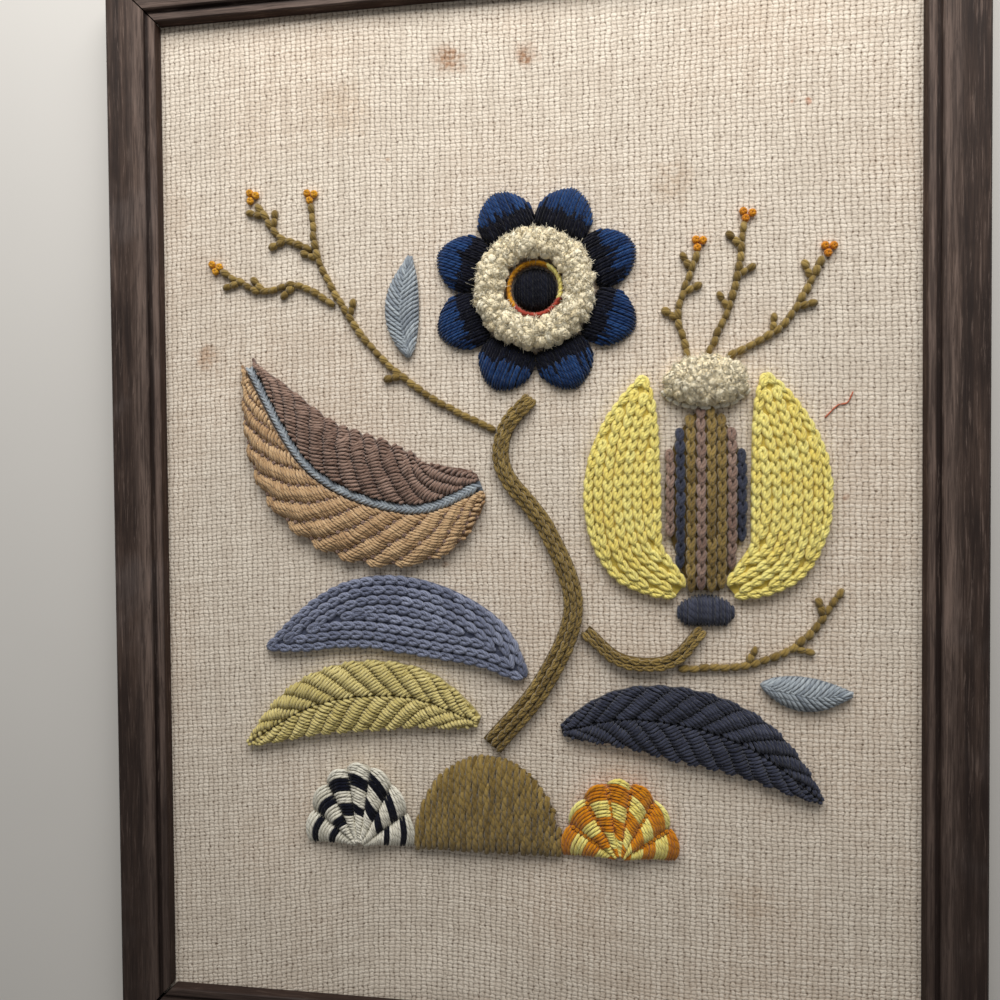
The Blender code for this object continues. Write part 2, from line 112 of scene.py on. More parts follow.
class Value:
    """One output of a shader tree, which arithmetic extends with Math nodes."""

    def __init__(self, shader: "Shader", socket: bpy.types.NodeSocket) -> None:
        """Wrap a socket of a shader's tree."""
        self.shader = shader
        self.socket = socket

    def __add__(self, other: "Value | float") -> "Value":
        """Add."""
        return self.shader.maths("ADD", self, other)

    __radd__ = __add__

    def __sub__(self, other: "Value | float") -> "Value":
        """Subtract."""
        return self.shader.maths("SUBTRACT", self, other)

    def __rsub__(self, other: "Value | float") -> "Value":
        """Subtract from a number."""
        return self.shader.maths("SUBTRACT", other, self)

    def __mul__(self, other: "Value | float") -> "Value":
        """Multiply."""
        return self.shader.maths("MULTIPLY", self, other)

    __rmul__ = __mul__

    def __pow__(self, other: "Value | float") -> "Value":
        """Raise to a power."""
        return self.shader.maths("POWER", self, other)

    def of(self, operation: str, *others: "Value | float") -> "Value":
        """Any other Math operation on this value."""
        return self.shader.maths(operation, self, *others)

    def between(self, low: float, high: float) -> "Value":
        """Rise softly from 0 at low to 1 at high."""
        return self.shader.node("ShaderNodeMapRange", {"interpolation_type": "SMOOTHSTEP"},
                                {"Value": self, "From Min": low, "From Max": high})


Feed = Value | float | tuple


class Shader:
    """A material's node tree while it is being made."""

    def __init__(self, name: str) -> None:
        """Start a material with an empty tree."""
        self.material = bpy.data.materials.new(name)
        self.material.use_nodes = True
        self.tree = self.material.node_tree
        self.tree.nodes.clear()

    def feed(self, socket: bpy.types.NodeSocket, value: Feed) -> None:
        """Link a value into a socket, or set the socket's own number or colour."""
        if isinstance(value, Value):
            self.tree.links.new(value.socket, socket)
        elif isinstance(value, tuple) and len(value) == 3 and len(socket.default_value) == 4:
            socket.default_value = (*value, 1.0)
        else:
            socket.default_value = value

    def node(self, kind: str, settings: dict | None = None, inputs: dict | None = None,
             output: int | str = 0) -> Value:
        """Add a node.

        Args:
            kind: The node's type.
            settings: Its own settings, set first.
            inputs: Values or links for its sockets, by name or number.
            output: Which output to hand back.

        Returns:
            The chosen output.
        """
        made = self.tree.nodes.new(kind)
        for name, value in (settings or {}).items():
            setattr(made, name, value)
        for name, value in (inputs or {}).items():
            self.feed(made.inputs[name], value)
        return Value(self, made.outputs[output])

    def maths(self, operation: str, *values: Value | float) -> Value:
        """Add one Math node."""
        return self.node("ShaderNodeMath", {"operation": operation}, dict(enumerate(values)))

    def place(self) -> Value:
        """Object coordinates."""
        return self.node("ShaderNodeTexCoord", output="Object")

    def chart(self, name: str) -> Value:
        """A UV map of the piece."""
        return self.node("ShaderNodeUVMap", {"uv_map": name})

    def attribute(self, name: str) -> Value:
        """A number stored on the mesh."""
        return self.node("ShaderNodeAttribute", {"attribute_name": name}, output="Fac")

    def parts(self, vector: Value) -> tuple[Value, Value, Value]:
        """The three parts of a vector."""
        first = self.node("ShaderNodeSeparateXYZ", {}, {0: vector})
        outputs = first.socket.node.outputs
        return first, Value(self, outputs[1]), Value(self, outputs[2])

    def join(self, x: Value | float, y: Value | float, z: Value | float = 0.0) -> Value:
        """A vector from three numbers."""
        return self.node("ShaderNodeCombineXYZ", {}, {0: x, 1: y, 2: z})

    def stretched(self, vector: Value, scale: tuple[float, float, float]) -> Value:
        """A vector with each part scaled."""
        return self.node("ShaderNodeVectorMath", {"operation": "MULTIPLY"},
                         {0: vector, 1: scale})

    def noise(self, vector: Value, scale: float, detail: float = 2.0,
              roughness: float = 0.5, twist: float = 0.0) -> Value:
        """Soft noise from 0 to 1."""
        return self.node("ShaderNodeTexNoise", {}, {
            "Vector": vector, "Scale": scale, "Detail": detail,
            "Roughness": roughness, "Distortion": twist})

    def mix(self, factor: Value | float, first: Feed, second: Feed,
            blend: str = "MIX") -> Value:
        """Mix two colours."""
        return self.node("ShaderNodeMix", {"data_type": "RGBA", "blend_type": blend},
                         {0: factor, 6: first, 7: second}, output=2)

    def bump(self, height: Value, distance: float, strength: float = 1.0) -> Value:
        """A normal raised by a height."""
        return self.node("ShaderNodeBump", {}, {
            "Height": height, "Distance": distance, "Strength": strength})

    def finish(self, **sockets: Feed) -> bpy.types.Material:
        """Close the tree with a Principled shader.

        Args:
            **sockets: Its sockets by name, with _ for a space.

        Returns:
            The material.
        """
        inputs = {name.replace("_", " "): value for name, value in sockets.items()}
        surface = self.node("ShaderNodeBsdfPrincipled", {}, inputs)
        output = self.tree.nodes.new("ShaderNodeOutputMaterial")
        self.tree.links.new(surface.socket, output.inputs["Surface"])
        return self.material


@dataclass(frozen=True)
class Wool:
    """Crewel wool in one dye lot."""

    slot: str
    light: Rgb
    dark: Rgb
    sheen: float = 0.35
    # depth: how dark the padding is painted, as a share of the dark tone; painted shade in the
    # gaps between stitches.
    depth: float = 0.55

    def yarn(self) -> bpy.types.Material:
        """The wool as worked: plied strands, each its own shade."""
        shader = Shader(self.slot + "_yarn")
        along, around, _ = shader.parts(shader.chart("yarn"))
        place = shader.place()
        dye = shader.attribute("dye")
        patch = shader.noise(place, 160.0, 2.0)
        fibres = shader.noise(shader.join(along * 0.8, around * 8.0), 3.0, 3.0, 0.7)
        fuzz = shader.noise(place, 1500.0, 3.0, 0.7)
        shade = dye * 0.50 + fibres * 0.55 + fuzz * 0.60 + patch * 0.20 - 0.46
        colour = shader.mix(shade.between(0.0, 1.0), self.dark, self.light)
        ply = (around * 2.0 + along * 0.9).of("FRACT")
        groove = ((ply - 0.5).of("ABSOLUTE") * 2.0).between(0.45, 1.0)
        height = fibres * 0.4 + fuzz * 0.5 - groove * 0.7
        # Painted shade: the grooves between the plies are darkened towards the dark tone.
        return shader.finish(
            Base_Color=shader.mix(groove * 0.45, colour, self.dark),
            Roughness=0.95, Normal=shader.bump(height, 0.28 * MM, 1.0),
            Sheen_Weight=self.sheen, Sheen_Roughness=0.5, Specular_IOR_Level=0.12)

    def padding(self) -> bpy.types.Material:
        """The same wool laid under the stitches, seen only in the gaps, with painted shade there.
        """
        shader = Shader(self.slot + "_padding")
        place = shader.place()
        mottle = shader.noise(place, 420.0, 4.0, 0.6)
        threads = shader.noise(shader.stretched(place, (1.0, 0.3, 1.0)), 1500.0, 2.0)
        # Painted shade: the padding seen in the gaps is darkened to depth times the dark tone.
        deep = tuple(self.depth * part for part in self.dark)
        return shader.finish(
            Base_Color=shader.mix(mottle, deep, self.dark), Roughness=0.96,
            Normal=shader.bump(mottle * 0.6 + threads * 0.4, 0.4 * MM, 0.8),
            Sheen_Weight=self.sheen, Sheen_Roughness=0.5, Specular_IOR_Level=0.15)


CREAM = Wool("cream_wool", linear(255, 249, 226), linear(250, 232, 190), 0.4, 0.9)
IVORY = Wool("ivory_wool", linear(254, 250, 236), linear(208, 203, 184))
NAVY = Wool("navy_wool", linear(23, 26, 42), linear(8, 9, 19), 0.10)
ROYAL = Wool("navy_wool", linear(38, 75, 128), linear(12, 35, 75), 0.18)
GOLD = Wool("gold_wool", linear(240, 176, 40), linear(184, 118, 14))
YELLOW = Wool("yellow_wool", linear(255, 248, 158), linear(242, 218, 107))
ORANGE = Wool("orange_wool", linear(234, 160, 24), linear(198, 114, 8))
RED = Wool("gold_wool", linear(186, 78, 60), linear(124, 44, 36), 0.2)
RUST = Wool("gold_wool", linear(222, 122, 84), linear(184, 88, 58), 0.2)
MAUVE = Wool("mauve_wool", linear(178, 150, 134), linear(112, 86, 74))
TAN = Wool("tan_wool", linear(231, 198, 153), linear(159, 124, 87))
OLIVE = Wool("olive_wool", linear(170, 144, 82), linear(106, 85, 40))
PALE_OLIVE = Wool("pale_olive_wool", linear(244, 229, 161), linear(184, 167, 97))
SLATE = Wool("slate_wool", linear(158, 165, 189), linear(95, 101, 124))
DARK_SLATE = Wool("dark_slate_wool", linear(76, 80, 98), linear(36, 39, 54), 0.25)
STEEL = Wool("steel_wool", linear(188, 197, 202), linear(118, 127, 138))


class Grain(Enum):
    """Which way the wood's grain runs."""

    ACROSS = (1.0, 0.045, 1.0)
    UPRIGHT = (0.045, 1.0, 1.0)


@dataclass(frozen=True)
class WornWood:
    """Dark stained wood, greyed and worn along its arrises."""

    grain: Grain
    deep: Rgb = linear(38, 27, 23)
    body: Rgb = linear(86, 69, 60)
    grey: Rgb = linear(88, 80, 78)
    pale: Rgb = linear(130, 111, 101)
    # wall: the painted shade of the rails' inner walls.
    wall: Rgb = linear(56, 35, 25)

    def material(self) -> bpy.types.Material:
        """The stained surface of one rail, with painted shade on its inner walls, in its groove
        and towards the picture's bottom.
        """
        shader = Shader("worn_wood_" + self.grain.name.lower())
        place = shader.place()
        x, y, z = shader.parts(place)
        outward = (x.of("ABSOLUTE") - SIGHT_WIDTH / 2.0).of(
            "MAXIMUM", y.of("ABSOLUTE") - SIGHT_HEIGHT / 2.0)
        lengthwise = (self.grain.value[1], self.grain.value[0], 1.0)
        coarse = shader.noise(shader.stretched(place, lengthwise), 260.0, 5.0, 0.62, 0.4)
        fine = shader.noise(shader.stretched(place, lengthwise), 1100.0, 5.0, 0.75, 0.6)
        patch = shader.noise(place, 30.0, 3.0)
        tone = (coarse * 0.85 + patch * 0.45 - 0.25).between(0.20, 0.66)
        colour = shader.mix(tone, self.deep, self.body)
        colour = shader.mix(patch.between(0.50, 0.70) * 0.5, colour, self.grey)
        shelf = outward.between(4.4 * MM, 5.2 * MM) * (1.0 - outward.between(7.0 * MM, 12.5 * MM))
        inner = ((outward - 1.4 * MM).of("ABSOLUTE") * -1.0 + 1.4 * MM).between(0.0, 0.6 * MM)
        rubbed = shader.noise(shader.stretched(place, lengthwise), 420.0, 3.0, 0.6)
        wear = (shelf * 0.65 + inner * 0.55) * (rubbed.between(0.30, 0.66) * 0.7 + 0.3)
        colour = shader.mix(wear, colour, self.pale)
        # Painted shade: the rails' inner walls round the sight are darkened to the wall colour.
        low = ((outward - 0.05 * MM) * -1.0).between(-0.1 * MM, 0.1 * MM)
        colour = shader.mix(low * 0.85, colour, self.wall)
        # Painted shade: the moulding's groove is darkened to the deep tone.
        groove = ((outward - 3.85 * MM).of("ABSOLUTE") * -1.0 + 0.7 * MM).between(0.0, 0.25 * MM)
        colour = shader.mix(groove * 0.8, colour, self.deep)
        colour = shader.mix(fine.between(0.46, 0.62) * 0.60, colour, self.deep)
        colour = shader.mix((1.0 - fine.between(0.34, 0.46)) * 0.45, colour, self.pale)
        # Painted shade: the rails darken towards the picture's bottom, which lies farther from
        # the key light.
        foot = 1.0 - y.between(-190.0 * MM, -10.0 * MM)
        colour = shader.mix(foot * 0.55, colour, self.deep)
        height = coarse * 0.5 + fine * 0.6
        return shader.finish(
            Base_Color=colour, Roughness=0.58 + 0.3 * coarse,
            Normal=shader.bump(height, 0.40 * MM, 0.9), Specular_IOR_Level=0.28)


@dataclass(frozen=True)
class Stain:
    """A mark on the cloth, in millimetres from the panel's middle."""

    x: float
    y: float
    radius: float
    strength: float
    colour: Rgb


STAINS = (
    Stain(-27.0, 175.0, 8.5, 0.75, linear(176, 126, 78)),
    Stain(3.0, 174.0, 6.5, 0.80, linear(170, 120, 74)),
    Stain(-129.0, 62.0, 7.5, 0.55, linear(184, 138, 90)),
    Stain(107.0, 149.0, 1.6, 0.85, linear(210, 128, 76)),
    Stain(101.0, 149.4, 1.3, 0.45, linear(220, 150, 104)),
    Stain(-52.0, 138.0, 1.7, 0.65, linear(176, 130, 84)),
    Stain(120.0, 4.0, 1.8, 0.60, linear(190, 124, 80)),
    Stain(-30.0, -22.0, 2.0, 0.50, linear(170, 124, 80)),
    Stain(58.0, 122.0, 11.0, 0.35, linear(190, 156, 112)),
    Stain(-70.0, 158.0, 16.0, 0.25, linear(206, 172, 128)),
    Stain(84.0, -150.0, 13.0, 0.25, linear(196, 164, 124)),
)


@dataclass(frozen=True)
class Linen:
    """Coarse natural cloth: slubby threads in pairs, one over and one under."""

    light: Rgb = linear(250, 239, 223)
    body: Rgb = linear(221, 207, 189)
    shadow: Rgb = linear(104, 86, 70)
    warm: Rgb = linear(222, 198, 174)

    def material(self) -> bpy.types.Material:
        """The woven face, charted in threads by the weave map."""
        shader = Shader("natural_linen")
        place = shader.place()
        warp, weft, _ = shader.parts(shader.chart("weave"))
        drift = shader.noise(place, 95.0, 2.0)
        sway = shader.noise(place, 260.0, 2.0)
        flat = shader.stretched(place, (1.0, 1.0, 0.0))
        jog = shader.noise(flat, 620.0, 2.0)
        wobble = shader.noise(flat, 1300.0, 2.0)
        warp = warp + (drift - 0.5) * 0.7 + (sway - 0.5) * 0.6 + (jog - 0.5) * 0.7 + (
            wobble - 0.5) * 0.4
        weft = weft + (shader.noise(place, 120.0, 2.0) - 0.5) * 0.7 + (
            sway - 0.5) * 0.5 + (0.5 - jog) * 0.75 + (wobble - 0.5) * 0.45
        slub_warp = shader.noise(shader.join(warp * 0.75, weft * 0.055), 1.0, 2.0)
        slub_weft = shader.noise(shader.join(warp * 0.04, weft * 0.75, 7.0), 1.0, 2.0)
        across_warp = (warp * math.pi).of("COSINE").of("ABSOLUTE")
        across_weft = (weft * math.pi).of("COSINE").of("ABSOLUTE")
        crossing = (warp * math.pi).of("COSINE") * (weft * math.pi).of("COSINE")
        over = crossing * 0.5 + 0.5
        split_warp = (warp * FULL_TURN).of("SINE").of("ABSOLUTE") ** 0.6
        split_weft = (weft * FULL_TURN).of("SINE").of("ABSOLUTE") ** 0.6
        warp_top = across_warp ** 0.55 * over * (slub_warp * 0.7 + 0.65) * (
            split_warp * 0.20 + 0.80)
        weft_top = across_weft ** 0.55 * (1.0 - over) * (slub_weft * 0.7 + 0.65) * (
            split_weft * 0.16 + 0.84)
        height = warp_top.of("MAXIMUM", weft_top)
        hair = shader.noise(place, 2600.0, 3.0, 0.7)
        grit = shader.noise(place, 900.0, 2.0, 0.6)
        lit = (height + (hair - 0.5) * 0.6 + (grit - 0.5) * 0.9).between(0.12, 0.95)
        loose = shader.noise(place, 470.0, 2.0).between(0.32, 0.62)
        hole = 1.0 - ((across_warp ** 2.0 + (across_weft * 0.75) ** 2.0) ** 0.5).between(
            0.18, 0.64)
        seam = (1.0 - across_warp.between(0.05, 0.5)) * 0.36 + (
            1.0 - across_weft.between(0.05, 0.45)) * 0.20
        pit = (hole * (loose * 0.70 + 0.30)).of("MAXIMUM", seam * (loose + 0.04))
        tint = shader.noise(place, 13.0, 3.0)
        thread = (slub_warp * 0.5 + slub_weft * 0.5).between(0.38, 0.62)
        ground = shader.mix(tint.between(0.40, 0.66) * 0.5, self.body, self.warm)
        colour = shader.mix(lit * (thread * 0.45 + 0.55), shader.mix(0.26, ground, self.shadow),
                            self.light)
        colour = shader.mix(0.20, colour, ground)
        colour = shader.mix(pit, colour, self.shadow)
        for stain in STAINS:
            colour = self.stained(shader, place, colour, stain)
        return shader.finish(
            Base_Color=colour, Roughness=0.95,
            Normal=shader.bump(height + hair * 0.25 + grit * 0.35, 0.36 * MM, 0.65),
            Sheen_Weight=0.12, Sheen_Roughness=0.5, Specular_IOR_Level=0.15)

    def stained(self, shader: Shader, place: Value, colour: Value, stain: Stain) -> Value:
        """Lay one soft-edged mark over the cloth's colour.

        Args:
            shader: The tree.
            place: Object coordinates.
            colour: The colour so far.
            stain: The mark.

        Returns:
            The marked colour.
        """
        x, y, _ = shader.parts(place)
        ragged = (shader.noise(place, 260.0, 3.0) - 0.5) * (stain.radius * 1.5 * MM)
        reach = ((x - stain.x * MM) ** 2.0 + (y - stain.y * MM) ** 2.0) ** 0.5 + ragged
        speck = shader.noise(place, 620.0, 2.0).between(0.30, 0.60) * 0.6 + 0.4
        mask = (1.0 - reach.between(0.1 * stain.radius * MM, stain.radius * MM)) * speck
        return shader.mix(mask * stain.strength, colour, stain.colour, "MULTIPLY")


@dataclass(frozen=True)
class PaleFloor:
    """A plain pale floor."""

    shade: Rgb = linear(214, 211, 206)

    def material(self) -> bpy.types.Material:
        """Matt and barely mottled."""
        shader = Shader("pale_floor")
        mottle = shader.noise(shader.place(), 14.0, 3.0)
        lighter = tuple(min(1.0, part * 1.05) for part in self.shade)
        return shader.finish(Base_Color=shader.mix(mottle, self.shade, lighter), Roughness=0.85)


@dataclass(frozen=True)
class Pucker:
    """A gentle swelling of the cloth, in millimetres."""

    x: float
    y: float
    radius: float
    height: float


PUCKERS = (
    Pucker(-95, -150, 34, 0.7),
    Pucker(-40, -166, 30, -0.5),
    Pucker(22, -160, 32, 0.6),
    Pucker(96, -138, 36, 0.5),
    Pucker(-122, 20, 30, 0.5),
    Pucker(112, 150, 36, 0.6),
    Pucker(-30, 150, 40, -0.4),
    Pucker(10, 0, 95, 0.5),
)


def ground(x: Array, y: Array) -> Array:
    """How far the cloth swells above its rim.

    Args:
        x: Places across the panel.
        y: Places up the panel.

    Returns:
        The heights above the rim.
    """
    inset = np.minimum(SIGHT_WIDTH / 2.0 - np.abs(x), SIGHT_HEIGHT / 2.0 - np.abs(y))
    swell = np.zeros_like(inset)
    for pucker in PUCKERS:
        reach = np.hypot(x - pucker.x * MM, y - pucker.y * MM) / (pucker.radius * MM)
        swell = swell + pucker.height * MM * np.exp(-reach * reach)
    return swell * smoothstep(0.0, TAUT_MARGIN, inset)


def above_cloth(spots: Array, lift: float = 0.0) -> Array:
    """The cloth's height at each place, and lift more."""
    return CLOTH_TOP + ground(spots[..., 0], spots[..., 1]) + lift


def raised(flat: Array, height: Array) -> Array:
    """Flat places taken up to their heights."""
    return np.concatenate([flat, np.asarray(height)[..., None]], -1)


class Spine:
    """A smooth line through a few points, read by the share of its length."""

    SAMPLES = 20

    def __init__(self, points_mm: Sequence[Point]) -> None:
        """Draw the line through points in millimetres."""
        knots = np.array(points_mm, float) * MM
        knots = np.vstack([2 * knots[0] - knots[1], knots, 2 * knots[-1] - knots[-2]])
        samples = [knots[1]]
        for before, start, end, after in zip(knots, knots[1:], knots[2:], knots[3:]):
            for step in range(1, self.SAMPLES + 1):
                t = step / self.SAMPLES
                samples.append(0.5 * (
                    2 * start + (end - before) * t
                    + (2 * before - 5 * start + 4 * end - after) * t * t
                    + (3 * start - before - 3 * end + after) * t * t * t))
        self.line = np.array(samples)
        steps = np.linalg.norm(np.diff(self.line, axis=0), axis=1)
        self.runs = np.concatenate([[0.0], np.cumsum(steps)])
        self.length = float(self.runs[-1])

    def at(self, share: Array) -> tuple[Array, Array]:
        """Read the line.

        Args:
            share: Shares of the length.

        Returns:
            The points, and the unit directions to the line's left.
        """
        run = np.clip(share, 0.0, 1.0) * self.length
        spot = np.stack([np.interp(run, self.runs, self.line[:, axis]) for axis in (0, 1)], -1)
        reach = 0.6 * MM
        ends = [np.stack([np.interp(np.clip(run + way, 0.0, self.length), self.runs,
                                    self.line[:, axis]) for axis in (0, 1)], -1)
                for way in (-reach, reach)]
        along = ends[1] - ends[0]
        along = along / np.maximum(np.linalg.norm(along, axis=-1, keepdims=True), 1e-9)
        return spot, np.stack([-along[..., 1], along[..., 0]], -1)


@dataclass(frozen=True)
class Taper:
    """How a blade's width runs along it."""

    start: float
    skew: float
    power: float

    def width(self, u: Array) -> Array:
        """The share of the half width at u."""
        phase = self.start + (1.0 - self.start) * np.clip(u, 0.0, 1.0)
        return np.maximum(0.0, np.sin(math.pi * phase ** self.skew)) ** self.power


LEAF_TAPER = Taper(0.02, 0.80, 0.80)
WILLOW_TAPER = Taper(0.02, 0.95, 0.75)
PETAL_TAPER = Taper(0.24, 1.00, 0.55)
SEPAL_TAPER = Taper(0.06, 1.05, 0.70)
HEART_TAPER = Taper(0.10, 1.25, 0.62)
CUP_TAPER = Taper(0.20, 1.15, 0.50)


def crown(share: Array, fullness: float = 0.55) -> Array:
    """A pillow's rise from 0 at both edges to 1 in the middle."""
    return np.maximum(0.0, 1.0 - np.abs(2.0 * share - 1.0) ** 2.4) ** fullness


def roll(phase: Array, depth: float) -> Array:
    """A row of rolls: 1 on each ridge, and 1 - depth in the valleys."""
    return 1.0 - depth * (1.0 - np.abs(np.cos(math.pi * phase)) ** 0.8)


def tangent_frames(paths: Array) -> tuple[Array, Array]:
    """Side and lift directions along many paths.

    Args:
        paths: Points, as paths by stations by 3.

    Returns:
        Unit side and lift directions of the same shape.
    """
    along = np.gradient(paths, axis=1)
    along /= np.maximum(np.linalg.norm(along, axis=-1, keepdims=True), 1e-9)
    side = np.cross(np.broadcast_to(np.array([0.0, 0.0, 1.0]), along.shape), along)
    size = np.linalg.norm(side, axis=-1, keepdims=True)
    side = np.where(size > 1e-4, side / np.maximum(size, 1e-9), np.array([1.0, 0.0, 0.0]))
    return side, np.cross(along, side)


class Underlay:
    """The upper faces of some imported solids, which stitches are laid over."""

    REACH = 0.05
    REST = 0.35 * MM

    def __init__(self, *nodes: str) -> None:
        """Gather the faces of the named solids."""
        spots: list[Vector] = []
        faces: list[tuple[int, ...]] = []
        for node in nodes:
            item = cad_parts[node]
            start = len(spots)
            spots += [item.matrix_world @ vert.co for vert in item.data.vertices]
            faces += [tuple(start + index for index in face.vertices)
                      for face in item.data.polygons]
        self.tree = BVHTree.FromPolygons(spots, faces)

    def height(self, x: Array, y: Array) -> Array:
        """How high a stitch rests at each place: on the solids, or else on the cloth.

        Args:
            x: Places across the panel.
            y: Places up the panel.

        Returns:
            The heights.
        """
        low = CLOTH_TOP + ground(x, y) + self.REST
        down = Vector((0.0, 0.0, -1.0))
        heights = low.copy()
        for index in np.ndindex(x.shape):
            hit, *_ = self.tree.ray_cast(Vector((x[index], y[index], self.REACH)), down)
            if hit is not None:
                heights[index] = max(low[index], hit.z)
        return heights


class Pattern:
    """A stitch modelled once, ready to be copied along many short paths."""

    def __init__(self, item: bpy.types.Object) -> None:
        """Read a modelled stitch that runs from 0 to 1 along X, and remove it."""
        mesh = item.data
        spots = np.array([vert.co[:] for vert in mesh.vertices])
        self.along, self.across, self.rise = spots.T
        self.loops = np.array([loop.vertex_index for loop in mesh.loops])
        self.totals = np.array([face.loop_total for face in mesh.polygons])
        self.chart = np.array([spot.uv[:] for spot in mesh.uv_layers.active.data])
        bpy.data.objects.remove(item, do_unlink=True)

    @staticmethod
    def start(operator: str, **settings: float) -> bpy.types.Object:
        """Add one primitive with nothing else selected, in edit mode.

        Args:
            operator: The primitive's operator name.
            **settings: Its settings.

        Returns:
            The new object.
        """
        bpy.ops.object.select_all(action="DESELECT")
        getattr(bpy.ops.mesh, operator)(**settings)
        bpy.ops.object.mode_set(mode="EDIT")
        return bpy.context.active_object

    @classmethod
    def finish(cls, item: bpy.types.Object, lie: tuple[float, float, float]) -> "Pattern":
        """Leave edit mode, apply the object's place and read the stitch.

        Args:
            item: The modelled object.
            lie: Turns that lay its length along X.

        Returns:
            The pattern.
        """
        bpy.ops.object.mode_set(mode="OBJECT")
        item.rotation_euler = lie
        bpy.ops.object.transform_apply(location=True, rotation=True, scale=True)
        return cls(item)

    @classmethod
    def strand(cls, sides: int, spans: int, tip: float, fullness: float) -> "Pattern":
        """A straight strand of yarn that thins towards both ends.

        Args:
            sides: Faces round it.
            spans: Lengths along it.
            tip: Its thickness at the ends, as a share.
            fullness: How long it keeps its full thickness.

        Returns:
            The pattern.
        """
        item = cls.start("primitive_cylinder_add", vertices=sides, radius=0.5, depth=1.0,
                         location=(0.5, 0.0, 0.0), end_fill_type="NGON", calc_uvs=True)
        cls.split_lengthwise(item, spans)
        shape = bmesh.from_edit_mesh(item.data)
        for vert in shape.verts:
            swell = 1.0 - (1.0 - tip) * abs(2.0 * vert.co.z) ** fullness
            vert.co.x *= swell
            vert.co.y *= swell
        bmesh.update_edit_mesh(item.data)
        return cls.finish(item, (0.0, math.pi / 2.0, 0.0))

    @staticmethod
    def split_lengthwise(item: bpy.types.Object, spans: int) -> None:
        """Divide the long edges of an upright tube."""
        bpy.ops.mesh.select_all(action="DESELECT")
        bpy.ops.mesh.select_mode(type="EDGE")
        shape = bmesh.from_edit_mesh(item.data)
        for edge in shape.edges:
            edge.select = abs(edge.verts[0].co.z - edge.verts[1].co.z) > 0.9
        bmesh.update_edit_mesh(item.data)
        bpy.ops.mesh.subdivide(number_cuts=spans - 1)

    @classmethod
    def link(cls) -> "Pattern":
        """One loop of chain stitch: two legs that part from a point and close in a round."""
        ring, yarn = 0.30, 0.28
        item = cls.start("primitive_torus_add", major_segments=12, minor_segments=6,
                         major_radius=ring, minor_radius=yarn, location=(0.0, 0.0, 0.0),
                         generate_uvs=True)
        shape = bmesh.from_edit_mesh(item.data)
        for vert in shape.verts:
            turn = math.atan2(vert.co.y, vert.co.x)
            off = (vert.co.x - ring * math.cos(turn), vert.co.y - ring * math.sin(turn))
            parted = (0.5 + 0.5 * math.cos(turn)) ** 0.6
            thick = 0.68 + 0.32 * parted
            vert.co = (0.50 + 0.52 * math.cos(turn) + 0.8 * thick * off[0],
                       (0.03 + 0.24 * parted) * math.sin(turn) + thick * off[1],
                       thick * vert.co.z + 0.22 * (1.0 - parted) - 0.10)
        bmesh.update_edit_mesh(item.data)
        pattern = cls.finish(item, (0.0, 0.0, 0.0))
        pattern.chart = pattern.chart[:, ::-1] * np.array([1.0, 2.4])
        return pattern

    @classmethod
    def knot(cls) -> "Pattern":
        """A French knot: two turns of yarn drawn down round a small dimple."""
        item = cls.start("primitive_torus_add", major_segments=9, minor_segments=6,
                         major_radius=0.22, minor_radius=0.27, location=(0.5, 0.0, 0.0),
                         generate_uvs=True)
        bpy.ops.transform.resize(value=(1.0, 1.0, 1.25), center_override=(0.0, 0.0, 0.0))
        return cls.finish(item, (0.0, 0.0, 0.0))

    @classmethod
    def lump(cls) -> "Pattern":
        """A soft, slightly uneven lump of fluffed wool."""
        item = cls.start("primitive_ico_sphere_add", subdivisions=2, radius=0.5,
                         location=(0.5, 0.0, 0.0), calc_uvs=True)
        shape = bmesh.from_edit_mesh(item.data)
        for vert in shape.verts:
            vert.co *= 1.0 + 0.10 * math.sin(7.0 * vert.co.x + 5.0 * vert.co.z) * math.cos(
                6.0 * vert.co.y)
        bmesh.update_edit_mesh(item.data)
        return cls.finish(item, (0.0, 0.0, 0.0))

    @classmethod
    def lock(cls) -> "Pattern":
        """A short lock of fluffed pile, wide at its root and pointed at its tip."""
        item = cls.start("primitive_cone_add", vertices=3, radius1=0.5, radius2=0.20, depth=1.0,
                         location=(0.5, 0.0, 0.0), end_fill_type="NGON", calc_uvs=True)
        cls.split_lengthwise(item, 3)
        return cls.finish(item, (0.0, math.pi / 2.0, 0.0))

    @classmethod
    def hair(cls) -> "Pattern":
        """A loose fibre with three sides."""
        item = cls.start("primitive_cylinder_add", vertices=3, radius=0.5, depth=1.0,
                         location=(0.5, 0.0, 0.0), end_fill_type="NGON", calc_uvs=True)
        cls.split_lengthwise(item, 3)
        return cls.finish(item, (0.0, math.pi / 2.0, 0.0))


